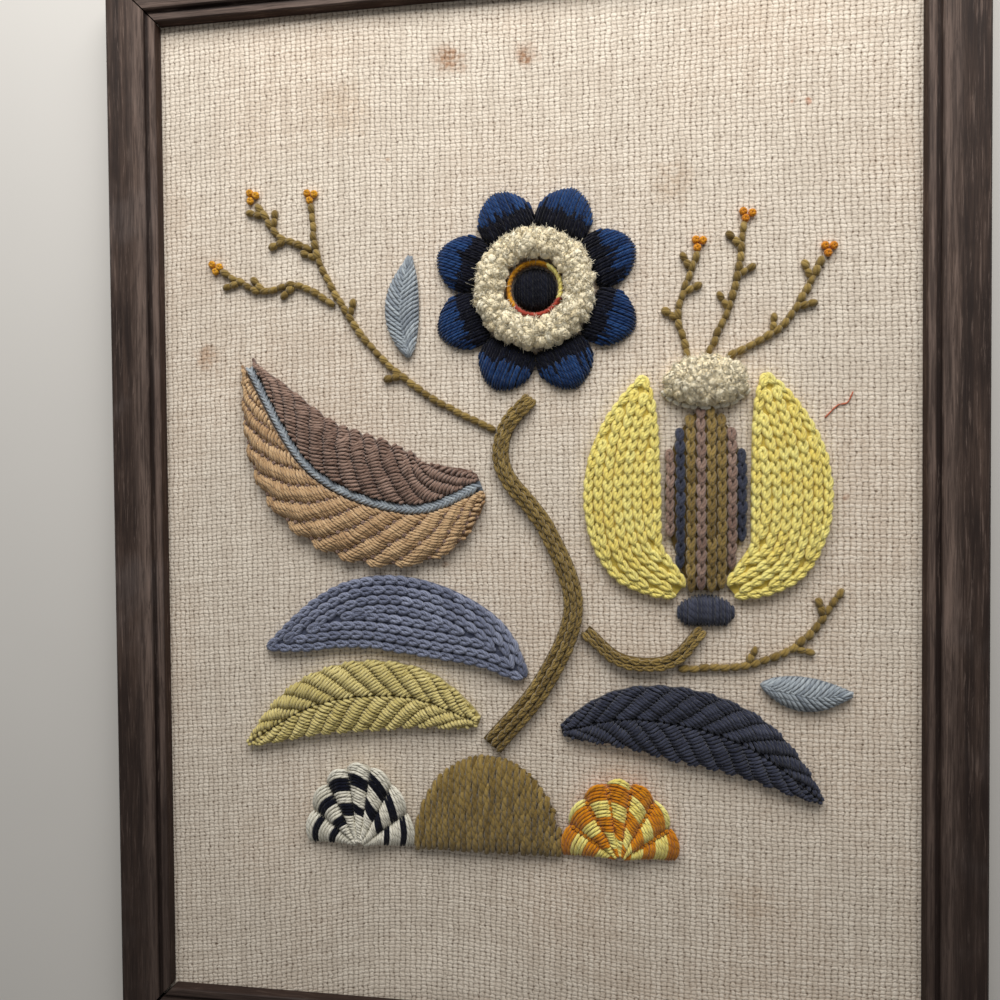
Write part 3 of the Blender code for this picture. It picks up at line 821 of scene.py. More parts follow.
class Yarnwork:
    """Stitches gathered into one mesh."""

    def __init__(self) -> None:
        """Start with nothing laid."""
        self.spots: list[Array] = []
        self.loops: list[Array] = []
        self.totals: list[Array] = []
        self.charts: list[Array] = []
        self.dyes: list[Array] = []
        self.count = 0

    def lay(self, pattern: Pattern, paths: Array, width: Array | float,
            dye: Array | float) -> None:
        """Copy a stitch along each path.

        Args:
            pattern: The stitch.
            paths: Points, as paths by stations by 3.
            width: Each stitch's thickness.
            dye: Each stitch's shade, from 0 to 1.
        """
        paths = np.asarray(paths, float)
        if not len(paths):
            return
        many, stations = paths.shape[:2]
        width = np.broadcast_to(np.asarray(width, float), (many,))[:, None, None]
        side, lift = tangent_frames(paths)
        place = pattern.along * (stations - 1)
        low = np.clip(np.floor(place).astype(int), 0, stations - 2)
        step = (place - low)[None, :, None]

        def read(what: Array) -> Array:
            """A station value at each of the pattern's points."""
            return what[:, low] * (1.0 - step) + what[:, low + 1] * step

        spots = (read(paths) + read(side) * pattern.across[None, :, None] * width
                 + read(lift) * pattern.rise[None, :, None] * width)
        length = np.linalg.norm(np.diff(paths, axis=1), axis=-1).sum(1)
        plies = np.maximum(1.0, np.round(0.75 * width[:, 0, 0] / PLY))
        chart = np.stack([pattern.chart[None, :, 1] * (length / PLY)[:, None],
                          pattern.chart[None, :, 0] * plies[:, None]], -1)
        start = self.count + np.arange(many)[:, None] * len(pattern.along)
        self.spots.append(spots.reshape(-1, 3))
        self.loops.append((start + pattern.loops[None]).ravel())
        self.totals.append(np.tile(pattern.totals, many))
        self.charts.append(chart.reshape(-1, 2))
        shades = np.broadcast_to(np.asarray(dye, float), (many,))
        self.dyes.append(np.repeat(shades, len(pattern.along)))
        self.count += many * len(pattern.along)

    def fluff(self, count: int, rng: np.random.Generator) -> None:
        """Let loose fibres stand off the stitches laid so far.

        Args:
            count: How many fibres.
            rng: The source of their places.
        """
        spots = np.concatenate(self.spots)
        roots = spots[rng.integers(0, len(spots), count)]
        angle = rng.uniform(0.0, FULL_TURN, count)
        length = rng.uniform(1.4, 3.6, count) * MM
        way = np.stack([np.cos(angle), np.sin(angle), rng.uniform(0.05, 0.5, count)], -1)
        curl = np.stack([-np.sin(angle), np.cos(angle), -0.5 * np.ones(count)], -1)
        bend = rng.uniform(-0.8, 0.8, count)
        paths = [roots + (way * s + curl * (bend * s * s)[:, None]) * length[:, None]
                 for s in (0.0, 0.35, 0.7, 1.0)]
        paths = np.stack(paths, 1)
        paths[..., 2] = np.maximum(paths[..., 2], above_cloth(paths, 0.15 * MM))
        self.lay(HAIR, paths, 0.09 * MM, rng.uniform(0.7, 1.0, count))

    def build(self, name: str, material: bpy.types.Material) -> bpy.types.Object:
        """Make the gathered stitches one object.

        Args:
            name: The object's name.
            material: Its wool.

        Returns:
            The object, at the origin.
        """
        mesh = bpy.data.meshes.new(name)
        spots, loops = np.concatenate(self.spots), np.concatenate(self.loops)
        totals = np.concatenate(self.totals)
        mesh.vertices.add(len(spots))
        mesh.vertices.foreach_set("co", spots.ravel())
        mesh.loops.add(len(loops))
        mesh.loops.foreach_set("vertex_index", loops)
        mesh.polygons.add(len(totals))
        starts = np.concatenate([[0], np.cumsum(totals)[:-1]])
        mesh.polygons.foreach_set("loop_start", starts)
        mesh.polygons.foreach_set("use_smooth", np.ones(len(totals), bool))
        chart = mesh.uv_layers.new(name="yarn")
        chart.data.foreach_set("uv", np.concatenate(self.charts).ravel())
        dye = mesh.attributes.new("dye", "FLOAT", "POINT")
        dye.data.foreach_set("value", np.concatenate(self.dyes))
        mesh.update(calc_edges=True)
        mesh.validate()
        mesh.materials.append(material)
        item = bpy.data.objects.new(name, mesh)
        bpy.context.scene.collection.objects.link(item)
        return item


STRAND = Pattern.strand(6, 6, 0.55, 6.0)
BEAD = Pattern.strand(8, 6, 0.55, 2.8)
LINK = Pattern.link()
KNOT = Pattern.knot()
LUMP = Pattern.lump()
LOCK = Pattern.lock()
HAIR = Pattern.hair()
STATIONS = 9


class Surface:
    """The upper face of a stitched pad, read at u along it and t across it."""

    def __init__(self, node: str) -> None:
        """Take the pad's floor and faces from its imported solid."""
        self.node = node
        self.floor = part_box(node)[0].z
        self.underlay = Underlay(node)

    def place(self, u: Array, t: Array) -> Array:
        """The place on the cloth of a point of the pad."""
        raise NotImplementedError

    def relief(self, u: Array, t: Array) -> Array:
        """How far the pad rises there above its edge."""
        raise NotImplementedError

    def at(self, u: Array, t: Array, lift: Array | float = 0.0) -> Array:
        """Points of the pad's face, raised by lift.

        Args:
            u: Shares along the pad.
            t: Shares across it.
            lift: Extra height.

        Returns:
            The points, with 3 numbers each.
        """
        spot = self.place(np.asarray(u, float), np.asarray(t, float))
        height = np.maximum(self.floor + PAD_EDGE + self.relief(u, t),
                            self.underlay.height(spot[..., 0], spot[..., 1])) + lift
        return raised(spot, height)

    def over(self, spots: Array, lift: Array | float) -> Array:
        """Lay flat paths over the pad, down to the cloth outside it.

        Args:
            spots: Places on the cloth, with 2 numbers each.
            lift: Height above what they lie on.

        Returns:
            The paths, with 3 numbers for each point.
        """
        return raised(spots, self.underlay.height(spots[..., 0], spots[..., 1]) + lift)


class Blade(Surface):
    """A leaf or petal worked all over."""

    def __init__(self, node: str, taper: Taper, half_width: float, thickness: float,
                 spine: Sequence[Point]) -> None:
        """Sizes are in millimetres, as in the solid's own table."""
        super().__init__(node)
        self.taper = taper
        self.half_width = half_width * MM
        self.thickness = thickness * MM
        self.spine = Spine(spine)

    def width(self, u: Array) -> Array:
        """The half width at u."""
        return np.maximum(PAD_EDGE, self.half_width * self.taper.width(u))

    def place(self, u: Array, t: Array) -> Array:
        """The place on the cloth of a point of the pad."""
        spot, left = self.spine.at(u)
        return spot + left * (self.width(u) * (2.0 * t - 1.0))[..., None]

    def relief(self, u: Array, t: Array) -> Array:
        """A pillow that thins towards its outline."""
        return (self.thickness - PAD_EDGE) * crown(np.clip(u, 0, 1), 0.4) * crown(
            np.clip(t, 0, 1))

    def chain_rows(self, pitch: float, length: float) -> list[tuple[int, Array]]:
        """Rows of chain that follow the outline inwards from both edges.

        Args:
            pitch: The distance between rows.
            length: The length of a link.

        Returns:
            Each row's number from the edge, and its links' paths.
        """
        rows = []
        fine = np.linspace(0.0, 1.0, 400)
        deepest = max(1, round(self.half_width / pitch))
        pitch = self.half_width / deepest
        for side in (-1, 1):
            for row in range(deepest):
                inset = (row + 0.46) * pitch
                inside = fine[self.width(fine) - inset > -0.12 * pitch]
                if len(inside) < 12:
                    continue
                across = 0.5 + 0.5 * side * np.clip(
                    1.0 - inset / self.width(inside), 0.0, 1.0)
                line = self.at(inside, across)
                rows.append((row, walk(line, length, row * 0.37 + (side > 0) * 0.5)))
        return rows

    def columns(self, pitch: float, length: float, inset: float) -> list[tuple[int, Array]]:
        """Rows of chain along the spine side by side, cut off at the outline.

        Args:
            pitch: The distance between rows.
            length: The length of a link.
            inset: How far inside the outline they stop, as a share of the pitch.

        Returns:
            Each row's number from the left, and its links' paths.
        """
        rows = []
        fine = np.linspace(0.0, 1.0, 400)
        count = round(2.0 * self.half_width / pitch)
        pitch = 2.0 * self.half_width / count
        for row in range(count):
            offset = (row + 0.5 - count / 2.0) * pitch
            inside = fine[self.width(fine) > abs(offset) + inset * pitch]
            if len(inside) < 12:
                continue
            line = self.at(inside, 0.5 + 0.5 * offset / self.width(inside))
            rows.append((row, walk(line, length, row * 0.41)))
        return rows

    def satin(self, pitch: float, start: float, end: float, rng: np.random.Generator,
              ragged: float) -> Array:
        """Parallel strands along the blade, each as long as the outline lets it be.

        Args:
            pitch: The distance between strands.
            start: Where they start along the blade, 0 for the outline.
            end: Where they end, 1 for the outline.
            rng: The source of unevenness.
            ragged: How much the ends inside the blade differ.

        Returns:
            The paths.
        """
        fine = np.linspace(0.0, 1.0, 300)
        count = round(2.0 * self.half_width / pitch)
        share = np.linspace(0.0, 1.0, STATIONS)
        overshoot = 0.35 * MM / self.spine.length
        paths = []
        for index in range(count):
            offset = ((index + 0.5) / count * 2.0 - 1.0) * self.half_width
            inside = fine[self.width(fine) >= abs(offset)]
            if len(inside) < 2:
                continue
            loose = rng.uniform(-ragged, ragged, 2)
            first, last = inside[0] - overshoot, inside[-1] + overshoot
            if start > 0.0:
                first = max(first, start + loose[0])
            if end < 1.0:
                last = min(last, end + loose[1])
            if (last - first) * self.spine.length < 1.6 * MM:
                continue
            u = first + (last - first) * share
            spot, left = self.spine.at(u)
            step = self.spine.line[-1] - self.spine.line[0]
            beyond = (u - np.clip(u, 0.0, 1.0))[:, None] * step
            paths.append(self.over(spot + beyond + left * offset, 0.28 * MM))
        return np.array(paths)

    def plait(self, pitch: float, slant: float, overlap: float) -> Array:
        """Fishbone stitches, left and right in turn, that cross at the middle.

        Args:
            pitch: The distance between stitches on one side.
            slant: How far each one runs on along the blade.
            overlap: How far each one crosses the middle, as a share of the half width.

        Returns:
            The paths.
        """
        count = int(self.spine.length / pitch)
        run = slant / self.spine.length
        share = np.linspace(0.0, 1.0, STATIONS)
        paths = []
        for index in range(count):
            for side in (-1, 1):
                start = (index + 0.5 * (side > 0)) / count - 0.6 * run
                u = np.clip(start + run * share, 0.0, 1.0)
                t = 0.5 + 0.5 * side * (share * (1.0 + overlap) - overlap) * 0.98
                arch = np.sin(math.pi * share ** 0.7) - share ** 6
                paths.append(self.at(u, t, 0.35 * MM * arch))
        return np.array(paths)


def walk(line: Array, length: float, phase: float) -> Array:
    """Cut a line into links laid end to end.

    Args:
        line: The line's points.
        length: About how long a link is.
        phase: How far on the first one starts, as a share of a link.

    Returns:
        The links' paths, three stations each.
    """
    runs = np.concatenate([[0.0], np.cumsum(np.linalg.norm(np.diff(line, axis=0), axis=1))])
    total = runs[-1]
    start = (phase % 1.0) * 0.35 * length
    count = max(1, int(round((total - start) / length)))
    size = (total - start) / count
    stops = start + size * (np.arange(count)[:, None] + np.array([0.0, 0.5, 1.0])[None])
    return np.stack([np.interp(stops, runs, line[:, axis]) for axis in range(3)], -1)


class HalfLeaf(Surface):
    """One half of a leaf worked in raised rolls from the vein to the edge."""

    VEIN_HALF_WIDTH = 1.7 * MM
    CLEARANCE = 0.5 * MM
    END_TRIM = 0.02

    def __init__(self, node: str, leaf: "RibbedLeaf", side: int) -> None:
        """Side is 1 for the leaf's left half and -1 for its right."""
        super().__init__(node)
        self.leaf = leaf
        self.side = side
        self.inner = (self.VEIN_HALF_WIDTH + self.CLEARANCE if leaf.vein
                      else self.CLEARANCE / 2.0)

    def phase(self, u: Array, t: Array) -> Array:
        """Which roll a point lies on, whole at each ridge."""
        return self.leaf.ribs * u - self.leaf.lean * t

    def place(self, u: Array, t: Array) -> Array:
        """The place on the cloth of a point of the pad."""
        u = np.clip(u, 0.0, 1.0)
        spot, left = self.leaf.spine.at(self.END_TRIM + (1.0 - 2.0 * self.END_TRIM) * u)
        full = self.leaf.half_width * MM * self.leaf.taper.width(u)
        lobe = 1.0 - 0.07 * (1.0 - np.abs(np.cos(math.pi * self.phase(u, 1.0))))
        outer = np.maximum(self.inner + PAD_EDGE, full * lobe)
        return spot + left * (self.side * (self.inner + (outer - self.inner) * t))[..., None]

    def relief(self, u: Array, t: Array) -> Array:
        """Rolls on a pillow."""
        u = np.clip(u, 0.0, 1.0)
        rise = crown(u, 0.35) * crown(0.12 + 0.84 * np.clip(t, 0.0, 1.0))
        return (self.leaf.thickness * MM - PAD_EDGE) * rise * roll(self.phase(u, t), 0.40)

    def rolls(self, pitch: float, slant: float) -> list[Array]:
        """Satin strands across each roll, from valley to valley.

        Args:
            pitch: The distance between strands along the roll.
            slant: How far strands lean off square to the roll, as a share.

        Returns:
            Each roll's strands.
        """
        rolls = []
        leaf = self.leaf
        share = np.linspace(0.0, 1.0, STATIONS)[None]
        run = leaf.spine.length / leaf.ribs
        for ridge in range(math.floor(-leaf.lean), leaf.ribs + 1):
            ends = self.place(np.array([ridge, ridge + leaf.lean]) / leaf.ribs,
                              np.array([0.0, 1.0]))
            count = max(1, int(np.linalg.norm(ends[1] - ends[0]) / pitch))
            middle = (np.arange(-count // 3, count + count // 3 + 1) + 0.5) / count
            core = (ridge + leaf.lean * np.clip(middle, 0.0, 1.0)) / leaf.ribs
            wide = leaf.half_width * MM * leaf.taper.width(core) - self.inner
            square = run ** 2 * leaf.lean / (run ** 2 * leaf.lean ** 2 + wide ** 2)
            tilt = np.maximum(0.04, square - slant)
            first = np.maximum(-0.5, (middle - 1.02) / tilt)[:, None]
            last = np.minimum(0.5, middle / tilt)[:, None]
            way = first + (last - first) * share
            t = middle[:, None] - tilt[:, None] * way
            u = (ridge + way * 0.98 + leaf.lean * t) / leaf.ribs
            centre = u.mean(1)
            keep = (centre > 0.004) & (centre < 0.996) & (wide > 0.0) & (
                last - first > 0.3)[:, 0]
            arch = 0.55 * MM * (1.0 - (2.0 * way) ** 2) + 0.02 * MM
            if keep.any():
                rolls.append(self.at(u, t, arch)[keep])
        return rolls

    def valleys(self, spacing: float) -> Array:
        """Places for small knots along the valleys between rolls.

        Args:
            spacing: The distance between knots.

        Returns:
            Points, with 3 numbers each.
        """
        spots = []
        leaf = self.leaf
        for ridge in range(math.floor(-leaf.lean), leaf.ribs):
            count = int(leaf.half_width * MM / spacing)
            t = (np.arange(count) + 0.5) / count
            u = (ridge + 0.5 + leaf.lean * t) / leaf.ribs
            inside = (u > 0.05) & (u < 0.9) & (t * leaf.taper.width(u) > 0.10)
            spots.append(self.at(u, t, 0.35 * MM)[inside])
        return np.concatenate(spots)


@dataclass
class RibbedLeaf:
    """A leaf of raised satin rolls in two halves, with or without a plaited vein."""

    name: str
    left: Wool
    right: Wool
    vein: Wool | None
    taper: Taper
    half_width: float
    thickness: float
    ribs: int
    lean: float
    points: Sequence[Point]
    seed: int
    knots: Wool | None = None
    strand: float = 1.40 * MM
    strand_pitch: float = 1.22 * MM
    strand_lean: float = 0.09
    fuzz: int = 150
    knot: float = 1.9 * MM
    knot_spacing: float = 2.7 * MM
    plait: float = 1.35 * MM
    plait_pitch: float = 2.0 * MM
    spine: Spine = field(init=False)

    def __post_init__(self) -> None:
        """Draw the spine."""
        self.spine = Spine(self.points)

    def build(self) -> list[bpy.types.Object]:
        """Work both halves, the vein and the knots.

        Returns:
            The pieces.
        """
        rng = np.random.default_rng(self.seed)
        pieces = []
        for side, wool, name in ((1, self.left, "left"), (-1, self.right, "right")):
            half = HalfLeaf(f"{self.name}_{name}", self, side)
            dress(half.node, wool.padding())
            work = Yarnwork()
            for paths in half.rolls(self.strand_pitch, self.strand_lean):
                count = len(paths)
                dye = 0.5 + 0.10 * rng.standard_normal() + 0.15 * rng.standard_normal(count)
                work.lay(STRAND, unsteady(paths, rng),
                         self.strand * rng.uniform(0.90, 1.10, count), dye)
            work.fluff(self.fuzz, rng)
            pieces.append(finish(work, f"{half.node}_satin", wool))
            if self.knots and side > 0:
                pieces.append(self.tie_knots(half, rng))
        if self.vein:
            pieces.append(self.plait_vein(rng))
        return pieces

    def tie_knots(self, half: HalfLeaf, rng: np.random.Generator) -> bpy.types.Object:
        """Work small knots in the valleys of one half.

        Args:
            half: The half to work on.
            rng: The source of unevenness.

        Returns:
            The knots as one piece.
        """
        spots = half.valleys(self.knot_spacing)
        work = Yarnwork()
        work.lay(KNOT, dots(spots, self.knot, rng), self.knot, rng.uniform(0.2, 0.8, len(spots)))
        return finish(work, f"{half.node}_knots", self.knots)

    def plait_vein(self, rng: np.random.Generator) -> bpy.types.Object:
        """Plait the vein between the halves.

        Args:
            rng: The source of unevenness.

        Returns:
            The vein's stitches.
        """
        node = f"{self.name}_vein"
        dress(node, self.vein.padding())
        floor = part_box(node)[0].z
        share = np.linspace(0.0, 1.0, STATIONS)
        count = int(self.spine.length / self.plait_pitch)
        paths = []
        for index in range(count):
            for side in (-1, 1):
                start = 0.02 + 0.92 * (index + 0.5 * (side > 0)) / count
                u = start + share * 0.030
                spot, left = self.spine.at(u)
                reach = HalfLeaf.VEIN_HALF_WIDTH * (1.15 - 0.5 * start) * 1.05
                spot = spot + left * (side * reach * (1.3 * share - 0.3))[..., None]
                height = floor + 1.5 * MM + 1.3 * MM * np.sin(math.pi * (0.25 + 0.7 * share))
                paths.append(raised(spot, height))
        work = Yarnwork()
        work.lay(STRAND, np.array(paths), self.plait, rng.uniform(0.15, 0.95, len(paths)))
        return finish(work, f"{node}_plait", self.vein)


def unsteady(paths: Array, rng: np.random.Generator, amount: float = HAND) -> Array:
    """Move whole stitches a little, as a hand does.

    Args:
        paths: The paths.
        rng: The source of unevenness.
        amount: The usual move.

    Returns:
        The moved paths.
    """
    move = rng.standard_normal((len(paths), 1, 3)) * amount
    bend = rng.standard_normal((len(paths), 1, 3)) * amount
    arch = np.sin(np.linspace(0.0, math.pi, paths.shape[1]))[None, :, None]
    return paths + move * np.array([1.0, 1.0, 0.5]) + bend * arch * np.array([1.0, 1.0, 0.6])


def dots(spots: Array, size: Array | float, rng: np.random.Generator) -> Array:
    """Short paths in random directions, one for each knot.

    Args:
        spots: The knots' middles.
        size: A knot's width, or a column of widths.
        rng: The source of directions.

    Returns:
        The paths, two stations each.
    """
    angle = rng.uniform(0.0, FULL_TURN, len(spots))
    way = np.stack([np.cos(angle), np.sin(angle), np.zeros_like(angle)], -1) * (size / 2.0)
    return np.stack([spots - way, spots + way], 1)


def dress(node: str, material: bpy.types.Material) -> None:
    """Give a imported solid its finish.

    Args:
        node: The solid's name.
        material: The finish.
    """
    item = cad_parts[node]
    item.data.materials.clear()
    item.data.materials.append(material)


def settle(piece: bpy.types.Object, slot: str, *nodes: str) -> bpy.types.Object:
    """Let a piece ride on the panel and hide the solids that it replaces.

    Args:
        piece: The new piece.
        slot: Not used.
        *nodes: Solids that it replaces.

    Returns:
        The piece.
    """
    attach(piece, ROOT)
    if nodes:
        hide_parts(*nodes)
    return piece


def finish(work: Yarnwork, name: str, wool: Wool, *nodes: str) -> bpy.types.Object:
    """Make gathered stitches a piece of the panel.

    Args:
        work: The stitches.
        name: The piece's name.
        wool: Their wool.
        *nodes: Solids that they replace.

    Returns:
        The piece.
    """
    return settle(work.build(name, wool.yarn()), wool.slot, *nodes)


@dataclass
class ChainLeaf:
    """A blade filled with rows of chain stitch that follow its outline."""

    name: str
    wool: Wool
    taper: Taper
    half_width: float
    thickness: float
    points: Sequence[Point]
    seed: int
    row_pitch: float = 3.7 * MM
    link: float = 4.7 * MM
    along_spine: bool = False
    link_share: float = 1.22
    fuzz: int = 200

    def build(self) -> list[bpy.types.Object]:
        """Fill the blade.

        Returns:
            The pieces.
        """
        rng = np.random.default_rng(self.seed)
        blade = Blade(self.name, self.taper, self.half_width, self.thickness, self.points)
        dress(self.name, self.wool.padding())
        work = Yarnwork()
        rows = blade.chain_rows(self.row_pitch, self.link)
        if self.along_spine:
            rows = [row for row in rows if row[0] == 0]
            rows += blade.columns(self.row_pitch, self.link, 0.9)
        for _, paths in rows:
            lay_links(work, paths, self.link_share * self.row_pitch, rng)
        work.fluff(self.fuzz, rng)
        return [finish(work, f"{self.name}_chain", self.wool)]


def lay_links(work: Yarnwork, paths: Array, width: float, rng: np.random.Generator) -> None:
    """Lay one row of chain, each link a little different.

    Args:
        work: What the links join.
        paths: The links' paths.
        width: Their width.
        rng: The source of unevenness.
    """
    count = len(paths)
    lifted = paths + np.array([0.0, 0.0, 0.5 * MM])
    work.lay(LINK, unsteady(lifted, rng, 0.07 * MM), width * rng.uniform(0.93, 1.07, count),
             0.5 + 0.2 * rng.standard_normal(count))


@dataclass
class PlaitedLeaf:
    """A small blade worked in fishbone stitch."""

    name: str
    wool: Wool
    taper: Taper
    half_width: float
    thickness: float
    points: Sequence[Point]
    seed: int
    strand: float = 1.5 * MM
    strand_pitch: float = 1.9 * MM
    slant: float = 1.15
    overlap: float = 0.22

    def build(self) -> list[bpy.types.Object]:
        """Plait the blade.

        Returns:
            The pieces.
        """
        rng = np.random.default_rng(self.seed)
        blade = Blade(self.name, self.taper, self.half_width, self.thickness, self.points)
        dress(self.name, self.wool.padding())
        paths = blade.plait(self.strand_pitch, self.slant * self.half_width * MM, self.overlap)
        work = Yarnwork()
        work.lay(STRAND, unsteady(paths, rng), self.strand, rng.uniform(0.1, 1.0, len(paths)))
        return [finish(work, f"{self.name}_plait", self.wool)]


@dataclass
class Fruit:
    """A fruit: two chain-filled sides, a striped heart and a satin cup."""

    stripes: Sequence[Wool] = (DARK_SLATE, MAUVE, OLIVE, OLIVE, MAUVE, OLIVE, DARK_SLATE, MAUVE)
    stripe_pitch: float = 3.75 * MM
    stripe_link: float = 4.9 * MM
    stripe_width: float = 4.3 * MM
    stripe_inset: float = -0.18
    cup_strand: float = 1.5 * MM
    cup_pitch: float = 1.25 * MM
    seed: int = 31

    def build(self) -> list[bpy.types.Object]:
        """Work the fruit's parts.

        Returns:
            The pieces.
        """
        rng = np.random.default_rng(self.seed)
        pieces = []
        for name, points in (("fruit_left", ((60, -31), (42, -16), (39, 14), (47, 50))),
                             ("fruit_right", ((79, -31), (97, -16), (100, 14), (91, 50)))):
            pieces += ChainLeaf(name, YELLOW, SEPAL_TAPER, 14.5, 3.0, points,
                                self.seed + len(name), 3.6 * MM, 4.5 * MM, True).build()
        pieces += self.stripe_heart(rng)
        pieces.append(self.work_cup(rng))
        return pieces

    def stripe_heart(self, rng: np.random.Generator) -> list[bpy.types.Object]:
        """Fill the heart with upright chain rows in turning colours.

        Args:
            rng: The source of unevenness.

        Returns:
            One piece for each wool.
        """
        heart = Blade("fruit_heart", HEART_TAPER, 15.0, 3.6,
                      ((69.5, -31), (69.5, 4), (69.5, 38)))
        dress(heart.node, OLIVE.padding())
        works: dict[str, tuple[Wool, Yarnwork]] = {}
        for row, paths in heart.columns(self.stripe_pitch, self.stripe_link, self.stripe_inset):
            wool = self.stripes[row % len(self.stripes)]
            _, work = works.setdefault(wool.slot, (wool, Yarnwork()))
            lay_links(work, paths, self.stripe_width, rng)
        return [finish(work, f"fruit_heart_{slot}", wool) for slot, (wool, work) in works.items()]

    def work_cup(self, rng: np.random.Generator) -> bpy.types.Object:
        """Cover the cup with upright satin.

        Args:
            rng: The source of unevenness.

        Returns:
            The satin.
        """
        cup = Blade("fruit_cup", CUP_TAPER, 10.5, 3.0, ((69.5, -44), (69.5, -33)))
        dress(cup.node, DARK_SLATE.padding())
        paths = cup.satin(self.cup_pitch, 0.0, 1.0, rng, 0.0)
        work = Yarnwork()
        work.lay(STRAND, unsteady(paths, rng), self.cup_strand,
                 rng.uniform(0.2, 0.9, len(paths)))
        return finish(work, "fruit_cup_satin", DARK_SLATE)


class Mound(Surface):
    """The middle hillock, worked in upright rows of stem stitch."""

    X = -14.0 * MM
    BASE = -134.0 * MM
    HALF_WIDTH = 29.0 * MM
    HEIGHT = 37.0 * MM
    THICKNESS = 3.4 * MM
    ROLLS = 8

    def rise(self, t: Array) -> Array:
        """The outline's height at t across."""
        across = 2.0 * t - 1.0
        return np.maximum(0.06, np.sqrt(np.maximum(0.0, 1.0 - across * across))) * self.HEIGHT

    def place(self, u: Array, t: Array) -> Array:
        """The place on the cloth of a point of the pad."""
        return np.stack([self.X + (2.0 * t - 1.0) * self.HALF_WIDTH,
                         self.BASE + u * self.rise(t)], -1)

    def relief(self, u: Array, t: Array) -> Array:
        """A pillow with faint upright rolls."""
        return self.THICKNESS * crown(np.clip(u, 0, 1)) * crown(np.clip(t, 0, 1)) * roll(
            self.ROLLS * t, 0.12)


class Shell(Surface):
    """A side hillock, worked in raised rays."""

    HOLLOW = 0.08
    BASE = -134.0 * MM

    def __init__(self, node: str, x: float, half_width: float, height: float,
                 thickness: float, rays: int) -> None:
        """Sizes are in millimetres, as in the solid's own table."""
        super().__init__(node)
        self.x = x * MM
        self.half_width = half_width * MM
        self.height = height * MM
        self.thickness = thickness * MM
        self.rays = rays

    def place(self, u: Array, t: Array) -> Array:
        """The place on the cloth of a point of the pad."""
        reach = self.HOLLOW + (1.0 - self.HOLLOW) * u
        bump = 1.0 + 0.05 * (np.abs(np.cos(math.pi * self.rays * (t - 0.5))) - 1.0) * u
        angle = math.pi * t
        return np.stack([self.x + reach * bump * self.half_width * np.cos(angle),
                         self.BASE + reach * bump * self.height * np.sin(angle)], -1)

    def relief(self, u: Array, t: Array) -> Array:
        """Rays on a pillow."""
        return self.thickness * crown(np.clip(0.5 * u + 0.25 * (1 - u), 0, 1)) * crown(
            np.clip(t, 0, 1)) * roll(self.rays * (t - 0.5), 0.35)

    def strands(self, pitch: float, slant: float) -> list[tuple[int, Array, Array]]:
        """Satin strands across each ray.

        Args:
            pitch: The distance between strands along a ray.
            slant: How far a strand's far end leans along the ray, as a share.

        Returns:
            Each ray's number, its strands' places along it and their paths.
        """
        rays = []
        way = np.linspace(-0.5, 0.5, STATIONS)
        for ray in range(-(self.rays // 2), self.rays // 2 + 1):
            middle = 0.5 + ray / self.rays
            ends = self.at(np.array([0.0, 1.0]), np.array([middle, middle]))
            count = int(np.linalg.norm(ends[1, :2] - ends[0, :2]) / pitch)
            along = (np.arange(count + 2) + 0.5) / count
            t = np.clip(middle + way[None] / self.rays * 0.98, 0.001, 0.999)
            t = np.repeat(t, len(along), 0)
            u = np.clip(along[:, None] + slant * way[None], 0.0, 1.06)
            arch = 0.55 * MM * (1.0 - (2.0 * way) ** 2)[None] - 0.1 * MM
            rays.append((ray, along, self.at(u, t, arch)))
        return rays


